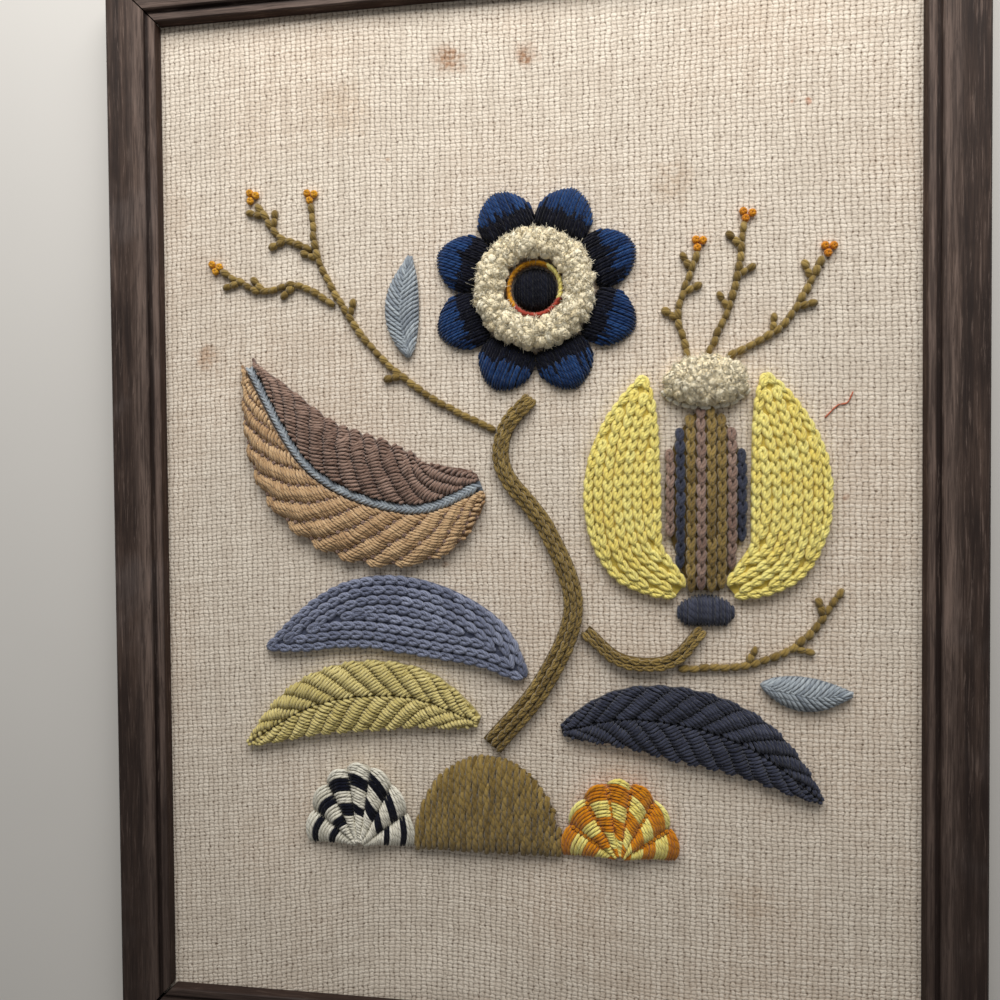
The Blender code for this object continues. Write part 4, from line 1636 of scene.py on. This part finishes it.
@dataclass
class Hillocks:
    """The three hillocks at the foot of the spray."""

    seed: int = 5
    strand: float = 1.42 * MM
    strand_pitch: float = 1.22 * MM
    strand_lean: float = 0.12
    knot: float = 1.9 * MM
    stem_strand: float = 2.15 * MM
    stem_pitch: float = 2.3 * MM
    stem_step: float = 4.4 * MM
    fuzz: int = 300

    def build(self) -> list[bpy.types.Object]:
        """Work all three.

        Returns:
            The pieces.
        """
        rng = np.random.default_rng(self.seed)
        return [self.work_mound(rng), *self.work_banded(rng), *self.work_gold(rng)]

    def work_mound(self, rng: np.random.Generator) -> bpy.types.Object:
        """Upright rows of stem stitch.

        Args:
            rng: The source of unevenness.

        Returns:
            The stitches.
        """
        mound = Mound("hill_olive")
        dress(mound.node, OLIVE.padding())
        columns = round(2.0 * mound.HALF_WIDTH / self.stem_pitch)
        share = np.linspace(0.0, 1.0, STATIONS)
        paths = []
        for column in range(columns):
            middle = (column + 0.5) / columns
            height = float(mound.rise(np.array(middle)))
            steps = max(2, round(height / self.stem_step))
            for step in range(-1, steps):
                low = (step + 0.5 * (column % 2)) / steps
                u = np.clip(low + share * 2.0 / steps, 0.0, 1.0)
                if u[-1] - u[0] < 0.4 / steps:
                    continue
                t = middle + (share - 0.5) * 0.55 / columns
                paths.append(mound.at(u, t, (0.20 + 0.55 * np.sin(math.pi * share)) * MM))
        work = Yarnwork()
        paths = np.array(paths)
        work.lay(STRAND, unsteady(paths, rng, 1.5 * HAND), self.stem_strand,
                 0.5 + 0.25 * rng.standard_normal(len(paths)))
        work.fluff(self.fuzz, rng)
        return finish(work, "hill_olive_long_stitch", OLIVE)

    def work_banded(self, rng: np.random.Generator) -> list[bpy.types.Object]:
        """Ivory rays crossed by dark stepped bands.

        Args:
            rng: The source of unevenness.

        Returns:
            The ivory and the dark stitches.
        """
        shell = Shell("hill_banded", -65.0, 21.0, 32.0, 4.2, 7)
        dress(shell.node, IVORY.padding())
        ivory, dark = Yarnwork(), Yarnwork()
        for ray, along, paths in shell.strands(self.strand_pitch, self.strand_lean):
            step = 0.05 * (ray % 2)
            banded = ((along > 0.36 + step) & (along < 0.52 + step)) | (
                (along > 0.74 + step) & (along < 0.90 + step))
            paths = unsteady(paths, rng)
            shade = 0.55 + 0.18 * rng.standard_normal(len(paths))
            ivory.lay(STRAND, paths[~banded], self.strand, shade[~banded])
            dark.lay(STRAND, paths[banded], self.strand, shade[banded])
        return [finish(ivory, "hill_banded_ivory", IVORY),
                finish(dark, "hill_banded_dark", NAVY)]

    def work_gold(self, rng: np.random.Generator) -> list[bpy.types.Object]:
        """Yellow and orange blocks in turn, with knots between the rays.

        Args:
            rng: The source of unevenness.

        Returns:
            The yellow and the orange stitches.
        """
        shell = Shell("hill_gold", 37.0, 21.0, 30.0, 4.2, 7)
        dress(shell.node, ORANGE.padding())
        yellow, orange = Yarnwork(), Yarnwork()
        for ray, along, paths in shell.strands(self.strand_pitch, self.strand_lean):
            blocks = (np.floor(along * 4.0 + 0.5 * (ray % 2)).astype(int) + ray) % 2 == 0
            paths = unsteady(paths, rng)
            shade = 0.55 + 0.18 * rng.standard_normal(len(paths))
            yellow.lay(STRAND, paths[blocks], self.strand, shade[blocks])
            orange.lay(STRAND, paths[~blocks], self.strand, shade[~blocks])
        for valley in range(-(shell.rays // 2), shell.rays // 2):
            t = 0.5 + (valley + 0.5) / shell.rays
            along = np.linspace(0.3, 0.97, 8)
            spots = shell.at(along, np.full(len(along), t), 0.5 * MM)
            orange.lay(KNOT, dots(spots, self.knot, rng), self.knot,
                       rng.uniform(0.3, 0.9, len(spots)))
        return [finish(yellow, "hill_gold_yellow", YELLOW),
                finish(orange, "hill_gold_orange", ORANGE)]


@dataclass
class Stem:
    """A stem of chain rows side by side."""

    name: str
    foot_half_width: float
    tip_half_width: float
    points: Sequence[Point]
    rows: int
    seed: int
    link: float = 3.9 * MM

    def build(self) -> list[bpy.types.Object]:
        """Work the rows.

        Returns:
            The pieces.
        """
        rng = np.random.default_rng(self.seed)
        spine = Spine(self.points)
        dress(self.name, OLIVE.padding())
        underlay = Underlay(self.name)
        u = np.linspace(0.0, 1.0, 300)
        half = (self.foot_half_width + (self.tip_half_width - self.foot_half_width) * u) * MM
        spot, left = spine.at(u)
        work = Yarnwork()
        for row in range(self.rows):
            across = (row + 0.5) / self.rows * 2.0 - 1.0
            shifted = spot + left * (half * across * 0.98)[:, None]
            line = raised(shifted, underlay.height(shifted[:, 0], shifted[:, 1]))
            width = 2.0 * float(half.mean()) / self.rows * 1.3
            lay_links(work, walk(line, self.link, row * 0.45), width, rng)
        return [finish(work, f"{self.name}_chain", OLIVE)]


@dataclass
class Sprig:
    """Forked twigs of single plump back stitches, which stand for their solids."""

    name: str
    twigs: dict[str, Sequence[Point]]
    seed: int
    width: float = 3.0 * MM
    stitch: float = 3.7 * MM
    shoots: Sequence[tuple[float, float]] = ((0.34, 0.77), (0.60, -0.77), (0.82, 0.77))
    shoot_length: float = 7.2 * MM
    run_in: float = 1.3 * MM

    def build(self) -> list[bpy.types.Object]:
        """Work every twig.

        Returns:
            The pieces.
        """
        rng = np.random.default_rng(self.seed)
        work = Yarnwork()
        for points in self.twigs.values():
            spine = Spine(points)
            spot, _ = spine.at(np.linspace(0.0, 1.0, 240))
            spot = spot + 0.25 * MM * np.sin(np.linspace(0.0, 11.0, 240))[:, None]
            back = (spot[0] - spot[12]) / np.linalg.norm(spot[0] - spot[12])
            self.lay_row(work, np.vstack([spot[0] + back * self.run_in, spot]), rng)
            for share, lean in self.shoots:
                foot, left = spine.at(np.array([share]))
                along = np.stack([left[:, 1], -left[:, 0]], -1)
                reach = np.linspace(0.12, 1.0, 24)[:, None] * self.shoot_length
                self.lay_row(work, foot + (along * 0.64 + left * lean) * reach, rng)
        return [finish(work, f"{self.name}_backstitch", OLIVE, *self.twigs)]

    def lay_row(self, work: Yarnwork, spot: Array, rng: np.random.Generator) -> None:
        """Lay one row of back stitch on the cloth.

        Args:
            work: What the stitches join.
            spot: The line's points, with 2 numbers each.
            rng: The source of unevenness.
        """
        paths = walk(raised(spot, above_cloth(spot, 1.05 * MM)), self.stitch, 0.0)
        paths += 0.16 * (paths - paths.mean(1, keepdims=True))
        paths[:, [0, 2], 2] -= 0.35 * MM
        count = len(paths)
        work.lay(BEAD, unsteady(paths, rng, 0.10 * MM),
                 self.width * rng.uniform(0.88, 1.10, count),
                 0.5 + 0.25 * rng.standard_normal(count))


@dataclass
class Berries:
    """Clusters of French knots at the twigs' tips."""

    name: str
    wool: Wool
    tips: Sequence[Point]
    seed: int
    size: float = 3.3 * MM
    spread: float = 1.75 * MM

    def build(self) -> list[bpy.types.Object]:
        """Tie the knots.

        Returns:
            The pieces.
        """
        rng = np.random.default_rng(self.seed)
        spots = []
        for x, y in self.tips:
            for turn in range(3):
                angle = FULL_TURN * (turn / 3.0 + rng.uniform(0.0, 0.1))
                spots.append((x * MM + self.spread * math.cos(angle),
                              y * MM + self.spread * math.sin(angle)))
        flat = np.array(spots)
        places = raised(flat, above_cloth(flat, 1.1 * MM))
        work = Yarnwork()
        work.lay(KNOT, dots(places, self.size, rng), self.size,
                 rng.uniform(0.3, 0.9, len(places)))
        return [finish(work, self.name, self.wool)]


@dataclass
class LooseEnds:
    """The back-stitched edge under the tuft, and one stray end of red wool."""

    centre: Point = (69.5, 47.5)
    reach: Point = (16.6, 10.0)
    stitches: int = 11
    edge_strand: float = 2.0 * MM
    stray_strand: float = 0.50 * MM
    stray: Sequence[Point] = ((112.5, 33.0), (117.0, 37.5), (120.5, 38.5), (122.5, 42.5))
    seed: int = 61

    def build(self) -> list[bpy.types.Object]:
        """Lay the edge and the stray end.

        Returns:
            The pieces.
        """
        rng = np.random.default_rng(self.seed)
        underlay = Underlay("fruit_heart", "fruit_left", "fruit_right")
        share = np.linspace(0.04, 0.96, STATIONS)
        turn = math.pi * (1.10 + 0.80 * (np.arange(self.stitches)[:, None] + share)
                          / self.stitches)
        x = (self.centre[0] + self.reach[0] * np.cos(turn)) * MM
        y = (self.centre[1] + self.reach[1] * np.sin(turn)) * MM
        paths = np.stack([x, y, underlay.height(x, y) + 1.1 * MM], -1)
        edge = Yarnwork()
        edge.lay(STRAND, unsteady(paths, rng), self.edge_strand,
                 rng.uniform(0.6, 1.0, self.stitches))
        spine = Spine(self.stray)
        stray = Yarnwork()
        for first in np.arange(4) / 4.0:
            spot, _ = spine.at(first + 0.27 * np.linspace(0.0, 1.0, STATIONS))
            path = raised(spot, above_cloth(spot, 0.4 * MM))
            stray.lay(STRAND, path[None], self.stray_strand, 0.7)
        return [finish(edge, "tuft_edge_backstitch", IVORY),
                finish(stray, "stray_red_end", RUST)]


@dataclass
class Pile:
    """Fluffed wool that covers a ring or an oval with soft lumps."""

    name: str
    node: str
    centre: Point
    half_width: float
    half_height: float
    hollow: float
    lumps: int
    hairs: int
    seed: int
    lump: float = 4.6 * MM
    inset: float = 1.3 * MM
    hollow_inset: float = 0.39 * MM

    def build(self) -> list[bpy.types.Object]:
        """Cover the pad with lumps, and the lumps with short hairs.

        Returns:
            The pieces.
        """
        rng = np.random.default_rng(self.seed)
        dress(self.node, CREAM.padding())
        work = Yarnwork()
        middle = self.scatter(self.lumps, rng)
        size = self.lump * rng.uniform(0.8, 1.15, self.lumps)
        middle[:, 2] += rng.uniform(-0.6, 0.0, self.lumps) * MM
        work.lay(LUMP, dots(middle, size[:, None], rng), size,
                 0.50 + 0.25 * rng.standard_normal(self.lumps))
        chosen = rng.integers(0, self.lumps, self.hairs)
        turn = rng.uniform(0.0, FULL_TURN, self.hairs)
        rise = rng.uniform(0.15, 1.0, self.hairs)
        level = np.sqrt(1.0 - rise ** 2)
        facing = np.stack([np.cos(turn) * level, np.sin(turn) * level, rise], -1)
        root = middle[chosen] + facing * (0.47 * size[chosen])[:, None]
        lean = rng.standard_normal((self.hairs, 3))
        lean -= facing * (lean * facing).sum(1, keepdims=True)
        curl = rng.standard_normal((self.hairs, 3)) * 0.35
        length = rng.uniform(0.8, 1.9, self.hairs) * MM
        paths = np.stack([root + (facing * (0.18 * s) + lean * (0.70 * s) + curl * s * s)
                          * length[:, None] for s in (0.0, 0.34, 0.67, 1.0)], 1)
        paths[..., 2] = np.maximum(paths[..., 2], above_cloth(paths, 0.3 * MM))
        work.lay(LOCK, paths, rng.uniform(0.24, 0.50, self.hairs) * MM,
                 rng.uniform(0.40, 1.0, self.hairs))
        return [finish(work, self.name, CREAM)]

    def scatter(self, count: int, rng: np.random.Generator) -> Array:
        """Spread places evenly over the pad.

        Args:
            count: How many.
            rng: The source of the places.

        Returns:
            The places on the pad.
        """
        angle = FULL_TURN * (np.arange(count) * GOLDEN + rng.uniform(0.0, 0.02, count))
        inner = self.hollow + self.hollow_inset / self.half_width if self.hollow else 0.0
        outer = 1.0 - self.inset / self.half_width
        radius = np.sqrt(inner ** 2 + (outer ** 2 - inner ** 2) * (
            np.arange(count) + rng.uniform(0.0, 1.0, count)) / count)
        x = self.centre[0] * MM + radius * np.cos(angle) * self.half_width
        y = self.centre[1] * MM + radius * np.sin(angle) * self.half_height
        return np.stack([x, y, Underlay(self.node).height(x, y)], -1)


@dataclass
class Bloom:
    """The round bloom: petals, fluffed pile, a fine ring and a dark boss."""

    centre: Point = (6.0, 84.0)
    petals: int = 8
    petal_root: float = 22.7
    petal_tip: float = 40.5
    petal_half_width: float = 10.9
    petal_thickness: float = 3.2
    boss_radius: float = 8.2 * MM
    boss_pitch: float = 1.05 * MM
    ring_radius: float = 10.0 * MM
    ring_strand: float = 1.6 * MM
    ring_stitches: int = 34
    pile_radius: float = 22.3 * MM
    pile_hollow: float = 0.56
    pile_lumps: int = 285
    pile_hairs: int = 8600
    pile_inset: float = 0.5 * MM
    dark_fuzz: int = 500
    blue_fuzz: int = 400
    boss_fuzz: int = 260
    strand: float = 1.35 * MM
    strand_pitch: float = 1.08 * MM
    seed: int = 9

    def build(self) -> list[bpy.types.Object]:
        """Work the bloom from its petals inwards.

        Returns:
            The pieces.
        """
        rng = np.random.default_rng(self.seed)
        pile = Pile("bloom_pile_locks", "bloom_pile", self.centre, self.pile_radius,
                    self.pile_radius, self.pile_hollow, self.pile_lumps, self.pile_hairs,
                    self.seed + 1, inset=self.pile_inset)
        return [*self.work_petals(rng), *pile.build(), *self.work_ring(rng),
                self.work_boss(rng)]

    def work_petals(self, rng: np.random.Generator) -> list[bpy.types.Object]:
        """Long and short stitches: dark at the root, blue at the tip.

        Args:
            rng: The source of unevenness.

        Returns:
            The dark and the blue stitches.
        """
        dark, blue = Yarnwork(), Yarnwork()
        for index in range(self.petals):
            angle = FULL_TURN * (index + 0.5) / self.petals
            points = [(self.centre[0] + reach * math.cos(angle),
                       self.centre[1] + reach * math.sin(angle))
                      for reach in (self.petal_root, self.petal_tip)]
            petal = Blade(f"bloom_petal_{index + 1}", PETAL_TAPER, self.petal_half_width,
                          self.petal_thickness, points)
            dress(petal.node, NAVY.padding())
            roots = petal.satin(self.strand_pitch, 0.0, 0.56, rng, 0.22)
            tips = petal.satin(self.strand_pitch, 0.34, 1.0, rng, 0.04)
            dark.lay(STRAND, unsteady(roots, rng), self.strand,
                     rng.uniform(0.0, 1.0, len(roots)))
            blue.lay(STRAND, unsteady(tips, rng), self.strand,
                     rng.uniform(0.1, 0.95, len(tips)))
        dark.fluff(self.dark_fuzz, rng)
        blue.fluff(self.blue_fuzz, rng)
        return [finish(dark, "bloom_petals_dark", NAVY), finish(blue, "bloom_petals_blue", ROYAL)]

    def work_ring(self, rng: np.random.Generator) -> list[bpy.types.Object]:
        """Stem stitch round the boss, in gold, red and pale yellow.

        Args:
            rng: The source of unevenness.

        Returns:
            One piece for each wool.
        """
        dress("bloom_eyeline", GOLD.padding())
        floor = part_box("bloom_eyeline")[0].z
        share = np.linspace(0.0, 1.0, STATIONS)
        works = {"gold": (GOLD, Yarnwork()), "red": (RED, Yarnwork()),
                 "pale": (YELLOW, Yarnwork())}
        for index in range(self.ring_stitches):
            turn = index / self.ring_stitches
            wool = "gold" if turn < 0.42 else "red" if turn < 0.76 else "pale"
            angle = FULL_TURN * (turn + 0.055 * share + 0.16)
            radius = self.ring_radius + (share - 0.5) * 1.0 * MM
            height = floor + 2.2 * MM + 0.9 * MM * np.sin(math.pi * share)
            path = np.stack([self.centre[0] * MM + radius * np.cos(angle),
                             self.centre[1] * MM + radius * np.sin(angle), height], -1)
            works[wool][1].lay(STRAND, path[None], self.ring_strand, rng.uniform(0.3, 0.9))
        return [finish(work, f"bloom_ring_{name}", wool) for name, (wool, work) in works.items()]

    def work_boss(self, rng: np.random.Generator) -> bpy.types.Object:
        """Cover the boss with upright satin.

        Args:
            rng: The source of unevenness.

        Returns:
            The satin.
        """
        dress("bloom_boss", NAVY.padding())
        underlay = Underlay("bloom_boss")
        share = np.linspace(-1.0, 1.0, STATIONS)
        count = int(2.0 * self.boss_radius / self.boss_pitch)
        across = ((np.arange(count) + 0.5) / count * 2.0 - 1.0) * 0.99
        reach = np.sqrt(1.0 - across * across)
        x = self.centre[0] * MM + self.boss_radius * across[:, None] * np.ones(STATIONS)
        y = self.centre[1] * MM + self.boss_radius * reach[:, None] * share
        paths = np.stack([x, y, underlay.height(x, y) + 0.35 * MM], -1)
        work = Yarnwork()
        work.lay(STRAND, unsteady(paths, rng, 0.07 * MM), self.strand,
                 rng.uniform(0.0, 1.0, len(paths)))
        work.fluff(self.boss_fuzz, rng)
        return finish(work, "bloom_boss_satin", NAVY)


@dataclass
class GroundCloth:
    """The coarse cloth that carries the stitching, seated in the frame's rabbet."""

    thickness: float = 1.4 * MM
    cell: float = 4.0 * MM
    warp_pitch: float = 2.15 * MM
    weft_pitch: float = 1.58 * MM

    def build(self) -> list[bpy.types.Object]:
        """Lay the sheet and chart its threads.

        Returns:
            The pieces.
        """
        width = SIGHT_WIDTH + 2.0 * (RABBET_WIDTH - SEAT_GAP)
        height = SIGHT_HEIGHT + 2.0 * (RABBET_WIDTH - SEAT_GAP)
        bpy.ops.object.select_all(action="DESELECT")
        bpy.ops.mesh.primitive_grid_add(x_subdivisions=round(width / self.cell),
                                        y_subdivisions=round(height / self.cell), size=1.0)
        cloth = bpy.context.active_object
        cloth.name = "ground_cloth"
        spots = self.read(cloth)
        spots[:, 0] *= width
        spots[:, 1] *= height
        spots[:, 2] = above_cloth(spots)
        cloth.data.vertices.foreach_set("co", spots.ravel())
        body = cloth.modifiers.new("body", "SOLIDIFY")
        body.thickness = self.thickness
        body.offset = -1.0
        bpy.ops.object.modifier_apply(modifier=body.name)
        bpy.ops.object.shade_smooth()
        self.chart(cloth)
        cloth.data.materials.append(Linen().material())
        settle(cloth, "natural_cloth", "cloth")
        return [cloth]

    @staticmethod
    def read(item: bpy.types.Object) -> Array:
        """The points of an object's mesh."""
        spots = np.empty(len(item.data.vertices) * 3)
        item.data.vertices.foreach_get("co", spots)
        return spots.reshape(-1, 3)

    def chart(self, cloth: bpy.types.Object) -> None:
        """Store which warp and weft each point lies on, with the cloth's drag.

        Args:
            cloth: The sheet.
        """
        spots = self.read(cloth)
        x, y = spots[:, 0], spots[:, 1]
        warp, weft = self.drag(x, y)
        chart = cloth.data.uv_layers.active or cloth.data.uv_layers.new(name="weave")
        chart.name = "weave"
        corners = np.empty(len(cloth.data.loops), int)
        cloth.data.loops.foreach_get("vertex_index", corners)
        counts = np.stack([(x + warp) / self.warp_pitch, (y + weft) / self.weft_pitch], -1)
        chart.data.foreach_set("uv", counts[corners].ravel())

    def drag(self, x: Array, y: Array) -> tuple[Array, Array]:
        """How far the threads are pulled off the straight.

        Args:
            x: Places across the panel.
            y: Places up the panel.

        Returns:
            The warps' shift across and the wefts' shift up.
        """
        def bell(at_x: float, at_y: float, wide: float, high: float) -> Array:
            """A soft bell, in millimetres."""
            return np.exp(-((x / MM - at_x) / wide) ** 2 - ((y / MM - at_y) / high) ** 2)

        left = np.minimum(0.0, x / MM + 60.0)
        weft = (-0.079 * left - 11.0 * bell(-38, -178, 66, 70)
                + 4.5 * bell(-2, 190, 62, 60) - 2.0 * bell(60, 40, 60, 80))
        warp = (2.6 * bell(118, 150, 50, 60) - 2.2 * bell(-20, -95, 60, 60)
                + 2.0 * bell(-118, -20, 40, 120))
        return warp * MM, weft * MM


@dataclass
class WoodFrame:
    """The four mitred rails in worn dark wood."""

    def build(self) -> list[bpy.types.Object]:
        """Finish the rails.

        Returns:
            No new pieces.
        """
        across, upright = WornWood(Grain.ACROSS).material(), WornWood(Grain.UPRIGHT).material()
        for node in ("rail_top", "rail_bottom"):
            dress(node, across)
        for node in ("rail_left", "rail_right"):
            dress(node, upright)
        return []


@dataclass
class Studio:
    """The pale floor, the soft lights and the camera."""

    camera_place: tuple[float, float, float] = (28.93 * MM, 8.91 * MM, 300.78 * MM)
    camera_turn: tuple[float, float, float] = (-1.133, 7.300, -0.456)
    lens_share: float = 0.751
    sensor: float = 36.0
    key_place: tuple[float, float, float] = (0.02, 0.55, 0.38)
    key_size: tuple[float, float] = (0.8, 0.4)
    key_power: float = 5.85
    key_colour: Rgb = (1.0, 0.985, 0.965)
    room_colour: Rgb = (1.0, 0.985, 0.96)
    room_strength: float = 0.19

    def build(self) -> None:
        """Set up the view."""
        self.lay_floor()
        self.hang_lights()
        self.place_camera()

    def lay_floor(self) -> None:
        """A wide pale floor under the frame's back."""
        bpy.ops.object.select_all(action="DESELECT")
        bpy.ops.mesh.primitive_plane_add(size=8.0, location=(0.0, 0.0, -0.2 * MM))
        floor = bpy.context.active_object
        floor.name = "floor"
        floor.data.materials.append(PaleFloor().material())

    def hang_lights(self) -> None:
        """A large soft light beyond the picture's top, and an even pale room."""
        data = bpy.data.lights.new("key", "AREA")
        data.shape = "RECTANGLE"
        data.size, data.size_y = self.key_size
        data.energy = self.key_power
        data.color = self.key_colour
        light = bpy.data.objects.new("key", data)
        bpy.context.scene.collection.objects.link(light)
        light.location = self.key_place
        away = np.array(self.key_place) / np.linalg.norm(self.key_place)
        light.rotation_euler = (math.acos(away[2]), 0.0, math.atan2(away[0], -away[1]))
        world = bpy.data.worlds.new("room")
        bpy.context.scene.world = world
        world.use_nodes = True
        background = world.node_tree.nodes["Background"]
        background.inputs["Color"].default_value = (*self.room_colour, 1.0)
        background.inputs["Strength"].default_value = self.room_strength
        bpy.context.scene.view_settings.view_transform = "Standard"

    def place_camera(self) -> None:
        """A close view, nearly square on, a little nearer the picture's right."""
        data = bpy.data.cameras.new("camera")
        data.sensor_width = self.sensor
        data.lens = self.lens_share * self.sensor
        data.clip_start = 0.01
        camera = bpy.data.objects.new("camera", data)
        bpy.context.scene.collection.objects.link(camera)
        camera.location = self.camera_place
        camera.rotation_euler = tuple(math.radians(turn) for turn in self.camera_turn)
        bpy.context.scene.camera = camera


def sub_assemblies() -> list:
    """Every sub-assembly of the panel, in the order that it is made."""
    return [
        WoodFrame(),
        GroundCloth(),
        Hillocks(),
        Stem("stem_main", 4.4, 2.8,
             ((-12, -92.5), (8, -68), (20, -38), (10, -8), (-6, 14), (-6, 30), (4, 42.5)), 3, 21),
        Stem("stem_fruit", 2.6, 2.2, ((24.5, -47), (38, -58), (56, -58), (68, -46)), 2, 22),
        ChainLeaf("leaf_slate", SLATE, WILLOW_TAPER, 15.0, 2.4,
                  ((1, -65), (-20, -49), (-62, -41), (-104, -56)), 23),
        PlaitedLeaf("leaf_steel_left", STEEL, WILLOW_TAPER, 6.8, 2.6,
                    ((-44, 60), (-46.5, 79), (-43, 99)), 24),
        PlaitedLeaf("leaf_steel_right", STEEL, WILLOW_TAPER, 6.4, 2.6,
                    ((90, -66), (106, -69.5), (122, -69)), 25),
        RibbedLeaf("leaf_great", TAN, MAUVE, STEEL, LEAF_TAPER, 25.0, 4.6, 14, 2.4,
                   ((-13, 10), (-44, 0), (-84, 16), (-112, 62)), 26, MAUVE),
        RibbedLeaf("leaf_olive", PALE_OLIVE, PALE_OLIVE, None, WILLOW_TAPER, 14.0, 3.8, 13, 1.6,
                   ((-15, -84), (-46, -74), (-82, -78), (-114, -96)), 27),
        RibbedLeaf("leaf_dark", DARK_SLATE, DARK_SLATE, None, WILLOW_TAPER, 14.0, 3.8, 13, 1.6,
                   ((13, -86), (44, -80), (82, -88), (113, -110)), 28),
        Fruit(),
        Pile("fruit_tuft_locks", "fruit_tuft", (69.5, 47.5), 15.5 * MM, 8.8 * MM, 0.0,
             100, 3800, 29),
        Bloom(),
        Sprig("left_sprig", {
            "twig_left_long": ((-11, 31), (-36, 44), (-62, 68), (-80, 98), (-83, 122)),
            "twig_left_low": ((-75.5, 82), (-90, 90), (-106, 88), (-121, 97)),
            "twig_left_high": ((-84.5, 104), (-97, 110), (-106, 123))}, 41),
        Sprig("crown_sprig", {
            "twig_crown_left": ((63, 57.5), (60, 74), (67, 96)),
            "twig_crown_middle": ((71, 58.5), (80, 80), (84, 106)),
            "twig_crown_right": ((79, 57), (98, 68), (112, 92))}, 42),
        Sprig("low_sprig", {
            "twig_low": ((61, -61), (84, -59), (104, -50), (119, -30))}, 43),
        Berries("berries_orange", ORANGE, ((67.5, 99), (85, 109), (114, 95)), 51),
        Berries("berries_gold", GOLD, ((-83.5, 125), (-124, 98.5), (-108, 126)), 52),
        LooseEnds(),
    ]


def triangles(piece: bpy.types.Object) -> int:
    """How many triangles a piece has."""
    return sum(face.loop_total - 2 for face in piece.data.polygons)


def main() -> None:
    """Build the panel's looks and the studio."""
    logging.basicConfig(level=logging.INFO, format="%(name)s: %(message)s")
    for part in sub_assemblies():
        pieces = part.build()
        names = ", ".join(f"{piece.name} ({triangles(piece)})" for piece in pieces)
        LOG.info("%s: %s", type(part).__name__, names or "packed solids dressed")
    Studio().build()


if __name__ == "__main__":
    main()
